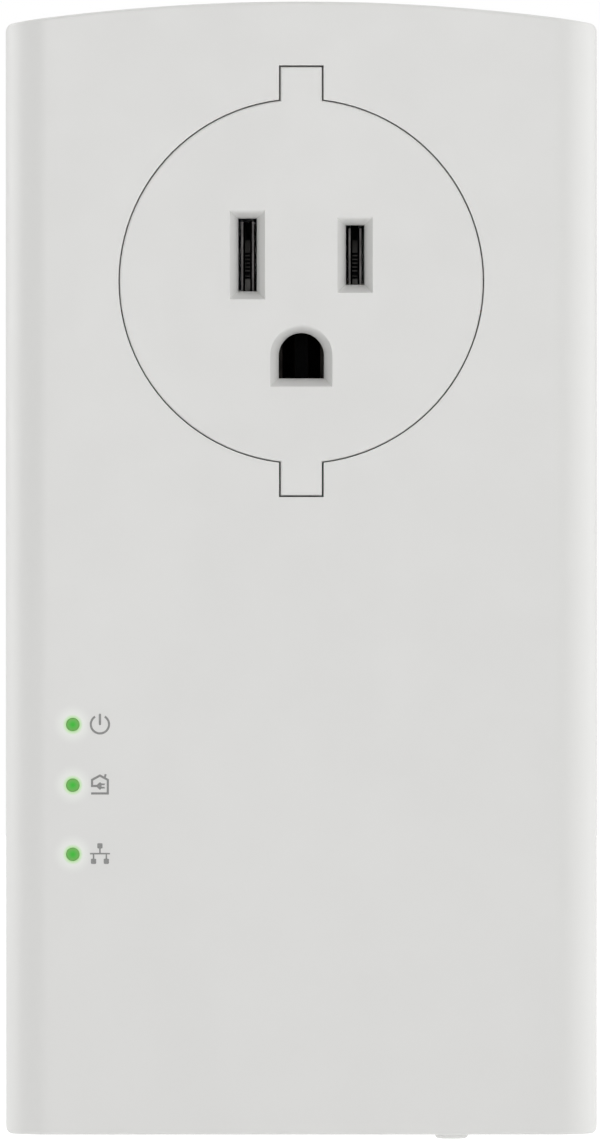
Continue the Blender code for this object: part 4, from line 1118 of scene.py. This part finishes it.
def make_blade(name, x):
    """A flat blade with a shouldered root, a tapered tip and an eyelet."""
    root = ((HOT_HIGH.x - HOT_LOW.x) / 2, HOT_HIGH.z)
    half, tall = BLADE_THICK / 2, BLADE_WIDE / 2
    taper_y = HOT_HIGH.y - BLADE_TAPER
    sections = [(HOT_LOW.y, *root), (BLADE_SHOULDER_Y, *root), (BLADE_SHOULDER_Y, half, tall)]
    for i in range(7):
        t = i / 6
        sections.append((taper_y + BLADE_TAPER * t, half - 0.45 * t**2.2, tall - 1.4 * t**2.2))
    blade = loft([
        ring("Y", rounded_rectangle(*about(x, u), -v, v, min(0.22, u * 0.6), 3), y) for y, u, v in sections
    ])
    eyelet = round_hole((BLADE_HOLE_Y, 0), BLADE_HOLE_RADIUS, 40)
    sides = [flared("X", eyelet, x + s * half, x - s * 0.05, 0.12) for s in (-1, 1)]
    piece(name + "_plated", cut(blade, *sides), "plated_blade", name)


def make_ground_pin():
    tip = PIN_HIGH.y - PIN_RADIUS
    profile = [(PIN_RADIUS, PIN_LOW.y), (PIN_RADIUS, tip)] + arc((0, tip), PIN_RADIUS, 7.5, 82.5, 10)
    piece("ground_pin_plated", turned("Y", (0, GROUND_Z), profile, 40), "plated_blade", "ground_pin")


# ---- Lights, buttons and port ----


def make_light_pipe():
    low, high = PIPE_LOW, PIPE_HIGH
    bar = round_box((low.x, high.x), (low.y + 2.6, low.y + 4.1), (low.z, high.z), 0.2)
    profile = [(LIGHT_RADIUS * r, low.y + d) for r, d in ((0.2, 0.0), (0.6, 0.0), (0.93, 0.01), (1.0, 0.06))]
    profile.append((LIGHT_RADIUS, high.y))
    tips = [turned("Y", (LIGHT_X, z), profile) for z in LIGHTS]
    piece("light_pipe_lit", fuse(bar, *tips), "light_pipe", "light_pipe")


def make_button():
    low, high = BUTTON_LOW.z, BUTTON_HIGH.z
    crown, collar, collar_z = 0.5, BUTTON_HIGH.x - BUTTON_X, INNER_BOTTOM_Z + 0.3
    profile = [(0.3, low)] + arc((BUTTON_RADIUS - crown, low + crown), crown, -90, 0, 6)
    profile += [(BUTTON_RADIUS, collar_z), (collar, collar_z), (collar, collar_z + 1.1)]
    profile += [(1.3, collar_z + 1.1), (1.3, high - 0.1), (1.2, high)]
    cap = turned("Z", (BUTTON_X, BUTTON_Y), profile, 56)
    piece("sync_button_cap", cap, "shell_plastic", "sync_button", body="sync_button")


def make_plunger(name, body):
    low, high = span(name)
    radius, soft = (high.x - low.x) / 2, 0.25
    profile = arc((radius - soft, low.z + soft), soft, -90, 0, 4) + [(radius, high.z)]
    plunger = turned("Z", (middle(name).x, BUTTON_Y), profile, 32)
    piece(name + "_stem", plunger, "black_plastic", name, body=body)


def make_port_shield():
    low, high, skin = PORT_LOW, PORT_HIGH, 0.4
    shield = round_box(*ranges("port_shield"), 0.3)
    room = box((low.x + skin, high.x - skin), (low.y + skin, high.y - skin), (low.z - 1, high.z - skin))
    shield = cut(shield, room)
    slots = []
    for side in (-1, 1):
        for y in about(middle("port_shield").y, 2.9):
            for edge in about(y, 0.95):
                wall_x = about(PORT_X + side * 8.0, 1.0)
                slots.append(box(wall_x, about(edge, 0.12), (low.z + 1.2, low.z + 7.0)))
    piece("port_shield_can", cut(shield, *slots), "tinned_steel", "port_shield")


def make_port_housing():
    """The jack's body: a stepped hole for a plug and its latch, and a comb that guides the wires."""
    low, high = span("port_housing")
    housing = round_box(*ranges("port_housing"), 0.15, 2)
    latch_y, latch_z = PORT_HOLE_Y[1], PORT_STOP_Z - 2
    steps = (
        (PORT_HOLE_HALF, PORT_HOLE_Y, PORT_STOP_Z),
        (3.1, (latch_y - 1, latch_y + 1.3), latch_z),
        (2.0, (latch_y - 1, latch_y + 2.1), latch_z),
    )
    for half, y, stop in steps:
        housing = cut(housing, flared("Z", square_hole(about(PORT_X, half), y), low.z, stop, 0.25))
    room_z = (PORT_STOP_Z - 1, span("port_contacts")[1].z + 0.3)
    housing = cut(housing, box(about(PORT_X, 5.4), (PORT_HOLE_Y[0] + 0.4, latch_y - 0.9), room_z))
    tooth_y = (PORT_HOLE_Y[0] - 0.02, PORT_HOLE_Y[0] + 1.1)
    tooth_z = (PORT_STOP_Z - 10.0, PORT_STOP_Z - 1.0)
    comb = [box(about(PORT_X + CONTACT_PITCH * i, 0.12), tooth_y, tooth_z) for i in range(-3, 4)]
    housing = fuse(housing, *comb)
    piece("port_housing_body", housing, "black_plastic", "port_housing")


def make_port_contacts():
    """A block at the stop, with eight wires that run down to the mouth and fold back."""
    high = span("port_contacts")[1]
    wire_y = PORT_HOLE_Y[0] + 0.5
    block = round_box(about(PORT_X, 5.1), (wire_y + 0.2, high.y), (PORT_STOP_Z + 0.3, high.z), 0.2, 2)
    piece("port_contact_block", block, "black_plastic")
    bends = ((1.3, 0.7), (0.05, -0.9), (0, -5.0), (0, -9.4), (0.6, -10.1), (1.6, -7.0), (2.3, -3.4))
    wires = []
    for i in range(8):
        x = PORT_X + CONTACT_PITCH * (i - 3.5)
        route = [(x, wire_y + v, PORT_STOP_Z + w) for v, w in bends]
        wires.append(sweep(smooth_path(route, 6), 0.2, 10))
    piece("port_contact_wires", together(*wires), "gold_contact", "port_contacts")


# ---- Fasteners ----


def thread(radius, start, end, pitch=0.85, ridge=0.22, steps=24):
    """A screw's shank along Y, whose radius follows a helical ridge; the ridge fades at both ends."""
    rows = max(12, int(abs(end - start) / pitch * 8))
    rings = []
    for row in range(rows + 1):
        y = start + (end - start) * row / rows
        fade = min(1.0, 3.0 * min(row, rows - row) / rows)
        points = []
        for i in range(steps):
            phase = (abs(y - start) / pitch - i / steps) % 1.0
            height = max(0.0, 1 - abs(phase - 0.5) * 4) * ridge * fade
            angle = 2 * math.pi * (i + 0.5) / steps
            reach = (radius - ridge) * (0.75 + 0.25 * min(1.0, 4 * (rows - row) / rows)) + height
            points.append((reach * math.cos(angle), y, reach * math.sin(angle)))
        rings.append(points)
    return loft(rings)


def make_screws(kind, count, facing, head, height, shank):
    """Pan-head screws with a cross recess and a real thread. facing is the way their heads point."""
    low, high = span(kind + "_1")
    profile = [(shank * 0.9, -0.01), (head - 0.1, 0.0), (head, 0.12)]
    profile += [(head * u, height * (0.45 + 0.55 * v)) for u, v in arc((0, 0), 1, 0, 72, 6)]
    screw = turned("Y", (0, 0), profile, 40)
    arm, reach, depth = about(0, head * 0.13), about(0, head * 0.58), (height * 0.3, height + 1)
    screw = cut(cut(screw, box(reach, depth, arm)), box(arm, depth, reach))
    screw = together(screw, thread(shank, 0.0, height - (high.y - low.y)))
    flip = Matrix.Rotation(math.pi if facing < 0 else 0, 3, "Z")
    for number in range(1, count + 1):
        name = f"{kind}_{number}"
        low, high = span(name)
        at = middle(name)
        at.y = high.y - height if facing > 0 else low.y + height
        turn = Matrix.Rotation(math.radians(37 * number), 3, "Y")
        piece(name + "_threaded", shift(screw.copy(), at, turn @ flip), "screw_steel", name)
    screw.free()


# ---- Inside parts ----


def ring_core(name, inner):
    low, high = span(name)
    at, outer, soft = middle(name), (high.x - low.x) / 2, 0.7
    corners = (
        (outer - soft, low.y + soft, 270), (outer - soft, high.y - soft, 0),
        (inner + soft, high.y - soft, 90), (inner + soft, low.y + soft, 180),
    )
    profile = []
    for radius, depth, start in corners:
        profile += arc((radius, depth), soft, start, start + 90, 3)
    core = turned("Y", (at.x, at.z), profile, 56, closed=True)
    piece(name + "_ring", core, "ferrite", name)


def wound(name, core, inner, outer, start, degrees, turns):
    """Turns of wire round a ring core, inside the space of the CAD winding."""
    low, high = span(name)
    at, gap = middle(core), COIL_WIRE + 0.05
    section = rounded_rectangle(inner + gap, outer - gap, low.y + gap, high.y - gap, 0.8, 3)
    steps = turns * len(section)
    points = []
    for step in range(steps + 1):
        radius, y = section[step % len(section)]
        angle = math.radians(start + degrees * step / steps)
        points.append((at.x + radius * math.cos(angle), y, at.z + radius * math.sin(angle)))
    piece(name + "_turns", sweep(points, COIL_WIRE), "copper_winding", name, crease=60)


def make_coils():
    for name, inner in (("inductor_core_left", 4.2), ("inductor_core_right", 4.2), ("choke_core", 4.6)):
        ring_core(name, inner)
    for side, start in (("left", 63), ("right", -117)):
        wound("inductor_winding_" + side, "inductor_core_" + side, 2.7, 9.5, start, 294, 18)
    for side, start in (("left", 118), ("right", -62)):
        wound("choke_winding_" + side, "choke_core", 3.1, 9.9, start, 124, 8)


def make_capacitor(name):
    """An electrolytic can: a grooved sleeve, folded over the rim, and a scored aluminium top."""
    low, high = span(name)
    at, radius = middle(name), (high.x - low.x) / 2
    from_back = ((0.4, 0), (0.1, 0.2), (0, 0.6), (0, 1.6), (0.25, 1.9), (0.4, 2.2), (0.25, 2.5), (0, 2.8))
    fold = 1.4  # how far the sleeve reaches over the rim
    from_top = ((0, 0.7), (0.2, 0.2), (0.7, 0), (fold, 0.02), (fold + 0.1, 0.25), (radius - 0.5, 0.25))
    profile = [(radius - inset, high.y - depth) for inset, depth in from_back]
    profile += [(radius - inset, low.y + depth) for inset, depth in from_top]
    drum = turned("Y", (at.x, at.z), profile, 56)
    for turn in (45, -45):
        score = box(about(0, 3.2), (low.y - 0.5, low.y + 0.4), about(0, 0.18))
        drum = cut(drum, shift(score, (at.x, 0, at.z), Matrix.Rotation(math.radians(turn), 3, "Y")))
    data = piece(name + "_can", drum, "capacitor_sleeve", name).data
    data.materials.append(looks["can"])
    for face in data.polygons:
        place = face.center / MM
        if math.hypot(place.x - at.x, place.z - at.z) < radius - fold + 0.05 and place.y < low.y + 0.5:
            face.material_index = 1


def make_fuse():
    low, high = span("fuse")
    at, radius = middle("fuse"), (high.x - low.x) / 2
    profile = [(0.4, low.y + 0.15), (radius - 1.3, low.y + 0.15), (radius - 1.2, low.y)]
    profile += arc((radius - 0.6, low.y + 0.6), 0.6, 270, 360, 5)
    profile += [(radius, high.y - 0.9), (radius - 0.2, high.y - 0.8), (radius - 0.2, high.y)]
    piece("fuse_can", turned("Y", (at.x, at.z), profile), "black_plastic", "fuse")


def make_varistor():
    low, high = span("varistor")
    at, radius, thick = middle("varistor"), (high.z - low.z) / 2, (high.x - low.x) / 2
    rim = [(radius - 1.3 + 1.3 * u, thick * v) for u, v in arc((0, 0), 1, -90, 90, 12)]
    face = [(radius - 2.0, thick * 0.86), (0.4, thick * 0.82)]
    profile = [(u, -v) for u, v in reversed(face)] + rim + face
    disc = turned("X", (at.y, at.z), [(u, at.x + v) for u, v in profile])
    piece("varistor_disc", disc, "varistor_coat", "varistor")


def make_film_capacitor():
    low, high = span("x_capacitor")
    case = round_box(*ranges("x_capacitor"), 0.6, 4)
    back, rim = high.y + 1, 0.9
    groove = box((low.x + rim, high.x - rim), (high.y - 0.5, back), (low.z + rim, high.z - rim))
    feet = [box(about(x, 0.6), (high.y - 0.35, back), (low.z - 1, high.z + 1)) for x in (-5.0, 5.0)]
    piece("x_capacitor_case", cut(cut(case, groove), *feet), "yellow_plastic", "x_capacitor")


def make_mains_leads():
    """The leads of the varistor and the film capacitor, down to the board."""
    disc, case = middle("varistor"), middle("x_capacitor")
    starts = [(disc.x + s * 0.7, disc.y + 3.4, disc.z + s * 3.7) for s in (-1, 1)]
    starts += [(x, span("x_capacitor")[1].y - 1.0, case.z) for x in (-7.0, 7.0)]
    leads = [sweep([(x, y, z), (x, POWER_FACE_Y - 0.05, z)], 0.3, 10) for x, y, z in starts]
    piece("mains_part_leads", together(*leads), "tinned_steel", look="solder")


def make_header():
    """Two rows of gold pins with a black body at each end."""
    low, high = span("board_header")
    at, columns, pitch, pin = middle("board_header"), 6, 2.54, 0.32
    width = (high.x - low.x) / columns
    bodies = []
    for y in ((low.y, low.y + 3.0), (high.y - 3.0, high.y)):
        for i in range(columns):
            x = (low.x + width * i + 0.03, low.x + width * (i + 1) - 0.03)
            bodies.append(round_box(x, y, (low.z, high.z), 0.35, 1))
    piece("board_header_bodies", together(*bodies), "black_plastic", "board_header")
    pins = []
    for i in range(columns):
        for z in about(at.z, pitch / 2):
            x = at.x + pitch * (i - (columns - 1) / 2)
            pins.append(box(about(x, pin), (low.y + 0.2, high.y - 0.2), about(z, pin)))
    piece("board_header_pins", together(*pins), "gold_contact")


def gull_wings(name, axis, count, wide):
    """Bent leads from a logic board chip's two opposite sides across an axis, down to the board."""
    low, high = span(name)
    across, along = (0, 2) if axis == "X" else (2, 0)
    centre = (low + high) / 2
    pitch = (high[along] - low[along]) * 0.9 / (count - 1)
    foot_y = LOGIC_FACE_Y - 0.12
    leads = []
    for side, edge in ((-1, low[across]), (1, high[across])):
        knees = ((-0.2, centre.y), (0.35, centre.y), (0.55, foot_y), (1.15, foot_y))
        outline = stroke([(edge + side * out, y) for out, y in knees], 0.15)
        if axis == "Z":
            outline = [(y, z) for z, y in outline]
        for i in range(count):
            at = centre[along] + pitch * (i - (count - 1) / 2)
            leads.append(prism("Z" if axis == "X" else "X", outline, *about(at, wide / 2)))
    return leads


def free_spots(board, grid, keep_clear, seed):
    """Random places on a board's grid where nothing larger stands: (x, z, upright, height) of each."""
    picker = random.Random(seed)
    low, high = span(board)
    boxes = [span(node) for node in keep_clear]
    gap, jitter, margin_x, margin_z = 2.4, 0.3, 4, 5
    spots = []
    for column in range(grid[0]):
        for row in range(grid[1]):
            x = low.x + margin_x + (high.x - low.x - 2 * margin_x) * (column + 0.5) / grid[0]
            z = low.z + margin_z + (high.z - low.z - 2 * margin_z) * (row + 0.5) / grid[1]
            x += picker.uniform(-jitter, jitter)
            z += picker.uniform(-jitter, jitter)
            upright = picker.random() < 0.5
            height = picker.choice((0.35, 0.5, 0.8))
            keep = picker.random() < 0.75
            near = any(a.x - gap < x < b.x + gap and a.z - gap < z < b.z + gap for a, b in boxes)
            if keep and not near:
                spots.append((x, z, upright, height))
    return spots


def surface_parts(board, grid, keep_clear, seed):
    """Small resistors and capacitors: a dark body between two soldered ends."""
    face_y = span(board)[0].y
    half_long, half_wide, slim, cap = 0.8, 0.42, 0.72, 0.7
    bodies, ends = [], []
    for x, z, upright, height in free_spots(board, grid, keep_clear, seed):
        half_x, half_z = (half_wide, half_long) if upright else (half_long, half_wide)
        front_y, back_y = face_y - height, face_y - 0.02
        bodies.append(box(about(x, half_x * slim), (front_y + 0.03, back_y), about(z, half_z * slim)))
        for side in (-1, 1):
            across, up = about(x, half_x), about(z, half_z)
            if upright:
                up = sorted((z + side * half_z, z + side * half_z * cap))
            else:
                across = sorted((x + side * half_x, x + side * half_x * cap))
            ends.append(round_box(across, (front_y, back_y), up, 0.05, 1))
    piece(board + "_parts_bodies", together(*bodies), "chip_resin")
    piece(board + "_parts_ends", together(*ends), "tinned_steel", look="solder")


def make_board_details():
    leads = gull_wings("powerline_chip", "X", 18, 0.3) + gull_wings("powerline_chip", "Z", 18, 0.3)
    leads += gull_wings("memory_chip", "X", 8, 0.4) + gull_wings("lan_transformer", "X", 8, 0.45)
    piece("logic_board_leads", together(*leads), "tinned_steel", look="solder")
    clear = "powerline_chip memory_chip lan_transformer led_power led_powerline led_network heatsink "
    clear += "logic_board_screw_1 logic_board_screw_2 shell_screw_3 shell_screw_4"
    surface_parts("logic_board", (12, 12), clear.split(), 7)
    clear = "x_capacitor fuse varistor bridge_rectifier bulk_capacitor_upper bulk_capacitor_lower "
    clear += "transformer_core transformer_bobbin coupling_transformer board_header plug_base "
    clear += "choke_winding_left choke_winding_right inductor_winding_left inductor_winding_right "
    clear += "power_board_screw_1 power_board_screw_2 neutral_wire line_wire"
    surface_parts("power_board", (13, 18), clear.split(), 11)


def make_transformer_winding():
    """Wire between the flanges of the transformer's bobbin."""
    low, high = span("transformer_bobbin")
    start_y = span("transformer_core")[1].y
    rows, centre_z = 9, middle("transformer_bobbin").z
    outline = rounded_rectangle(low.x - 0.28, high.x + 0.28, *about(centre_z, 7.1), 1.6, 4)
    turns = []
    for i in range(rows):
        y = start_y + 0.35 + (high.y - start_y - 1.6) * (i + 0.5) / rows
        path = ring("Y", outline, y)
        turns.append(sweep(path + [path[0]], 0.22, 6))
    piece("transformer_winding", together(*turns), "copper_winding", crease=60)


def dress_cad_nodes():
    """Gives every CAD node that still shows its slot's material, and breaks its sharp edges."""
    for row in frame["record"]["subparts"]:
        node = frame["nodes"][row["node"]]
        node.data.materials.clear()
        node.data.materials.append(looks[row["material_slot"]])
        if node.hide_render:
            continue
        weld = node.modifiers.new("Weld", "WELD")
        weld.merge_threshold = 1e-6
        bevel = node.modifiers.new("Edges", "BEVEL")
        bevel.width = 0.12 * MM
        bevel.segments = 2
        bevel.limit_method = "ANGLE"
        bevel.angle_limit = math.radians(40)
        weigh_normals(node)


# ---- Stage, light and camera ----

# Light levels of a white tent. Angles are from the direction of the camera, in degrees.
FRONT_BOX = 3.8
FRONT_BOX_ANGLE = 12.0
WALLS = 0.22
CEILING = 1.0
BACK_WALL = 0.65
BACK_WALL_ANGLE = 132.0
RIGHT_PANEL = 1.65
RIGHT_PANEL_ANGLE = 50.0
LEFT_PANEL = 2.0
LEFT_PANEL_ANGLE = 83.0

FLOOR_DROP = 30.0  # from the button's tip
FLOOR_RADIUS = 2500.0
SHOWN_HEIGHT = 134.45  # millimetres of the object's front plane that fill the picture's height
CAMERA_DISTANCE = 1200.0
SENSOR = 36.0


def make_floor():
    """A plain pale floor. Only its upper side is solid, so the adapter is seen through it from below."""
    mesh = bmesh.new()
    outline = ring("Z", circle((0, 0), FLOOR_RADIUS, 64), BUTTON_LOW.z - FLOOR_DROP)
    mesh.faces.new([mesh.verts.new(Vector(point) * MM) for point in outline])
    data = mesh_data("floor", mesh)
    made = Finish("pale_floor", 0.9)
    made.shade(made.noise(300.0, 2.0), (0.88, 0.88, 0.88), (0.90, 0.90, 0.90))
    seen = made.times(made.add("LightPath").outputs["Is Camera Ray"], 0.2)
    made.emit((1.0, 1.0, 1.0), made.plus(seen, 0.2))
    one_sided = made.add("MixShader")
    underside = made.add("NewGeometry").outputs["Backfacing"]
    clear = made.add("BsdfTransparent").outputs["BSDF"]
    made.set(one_sided, {0: underside, 1: made.shader.outputs["BSDF"], 2: clear})
    made.set(made.tree.nodes["Material Output"], {"Surface": one_sided.outputs["Shader"]})
    data.materials.append(made.material)
    floor = add_object("floor", data)


def make_world():
    """A white tent: a soft box by the camera, a panel at each side, a ceiling and a back wall.

    The camera itself sees plain white.
    """
    world = bpy.data.worlds.new("studio")
    bpy.context.scene.world = world
    world.use_nodes = True
    made = Nodes(world.node_tree)
    axes = made.add("SeparateXYZ")
    made.set(axes, {"Vector": made.add("TexCoord").outputs["Generated"]})
    x, y, z = axes.outputs
    front = made.times(y, -1.0)

    def from_angle(angle, spread):
        """Rises from 0 to 1 as the angle from the camera grows past that angle."""
        near, far = (math.cos(math.radians(side)) for side in about(angle, spread))
        return made.ramp(front, near, far)

    right = made.times(made.ramp(x, 0.0, 0.3), from_angle(RIGHT_PANEL_ANGLE, 8.0))
    left = made.times(made.ramp(x, 0.0, -0.3), from_angle(LEFT_PANEL_ANGLE, 5.0))
    parts = (
        (right, RIGHT_PANEL),
        (left, LEFT_PANEL),
        (from_angle(BACK_WALL_ANGLE, 8.0), BACK_WALL),
        (made.ramp(z, 0.3, 0.8), CEILING),
        (made.math("SUBTRACT", 1.0, from_angle(FRONT_BOX_ANGLE, 6.0)), FRONT_BOX),
        (made.add("LightPath").outputs["Is Camera Ray"], 1.0),
    )
    level = WALLS
    for weight, brightness in parts:
        change = made.times(made.math("SUBTRACT", brightness, level), weight)
        level = made.plus(level, change)
    made.set(made.tree.nodes["Background"], {"Strength": level, "Color": (1.0, 1.0, 1.0, 1.0)})


def make_camera():
    """A long lens straight in front, so that there is almost no perspective."""
    data = bpy.data.cameras.new("camera")
    data.sensor_width = SENSOR
    data.lens = SENSOR * CAMERA_DISTANCE / SHOWN_HEIGHT
    data.clip_start, data.clip_end = 0.01, 20.0
    camera = add_object("camera", data)
    camera.location = Vector((-0.16, FRONT_Y - CAMERA_DISTANCE, (TOP_Z + BOTTOM_Z) / 2 - 0.22)) * MM
    camera.rotation_euler = (math.radians(90), math.radians(0.01), 0)
    bpy.context.scene.camera = camera


make_camera()
make_world()
make_floor()

make_front_shell()
make_rear_shell()
make_label()
make_symbols()
make_outlet()
make_outlet_towers()
make_blade_contact("neutral_contact", -1, NEUTRAL_SLOT)
make_blade_contact("hot_contact", 1, HOT_SLOT)
make_ground_contact()
make_plug_base()
make_blade("neutral_blade", -BLADE_X)
make_blade("hot_blade", BLADE_X)
make_ground_pin()
make_light_pipe()
make_button()
make_plunger("sync_switch_plunger", "sync_plunger")
make_plunger("reset_switch_plunger", "reset_plunger")
make_port_shield()
make_port_housing()
make_port_contacts()
make_screws("shell_screw", 4, facing=1, head=2.5, height=1.9, shank=1.0)
make_screws("power_board_screw", 2, facing=-1, head=2.1, height=1.6, shank=0.75)
make_screws("logic_board_screw", 2, facing=1, head=2.1, height=1.6, shank=0.75)
make_screws("outlet_screw", 2, facing=1, head=2.0, height=1.5, shank=0.75)
make_coils()
make_capacitor("bulk_capacitor_upper")
make_capacitor("bulk_capacitor_lower")
make_fuse()
make_varistor()
make_film_capacitor()
make_mains_leads()
make_header()
make_board_details()
make_transformer_winding()
dress_cad_nodes()

bpy.context.scene.view_settings.view_transform = "Standard"
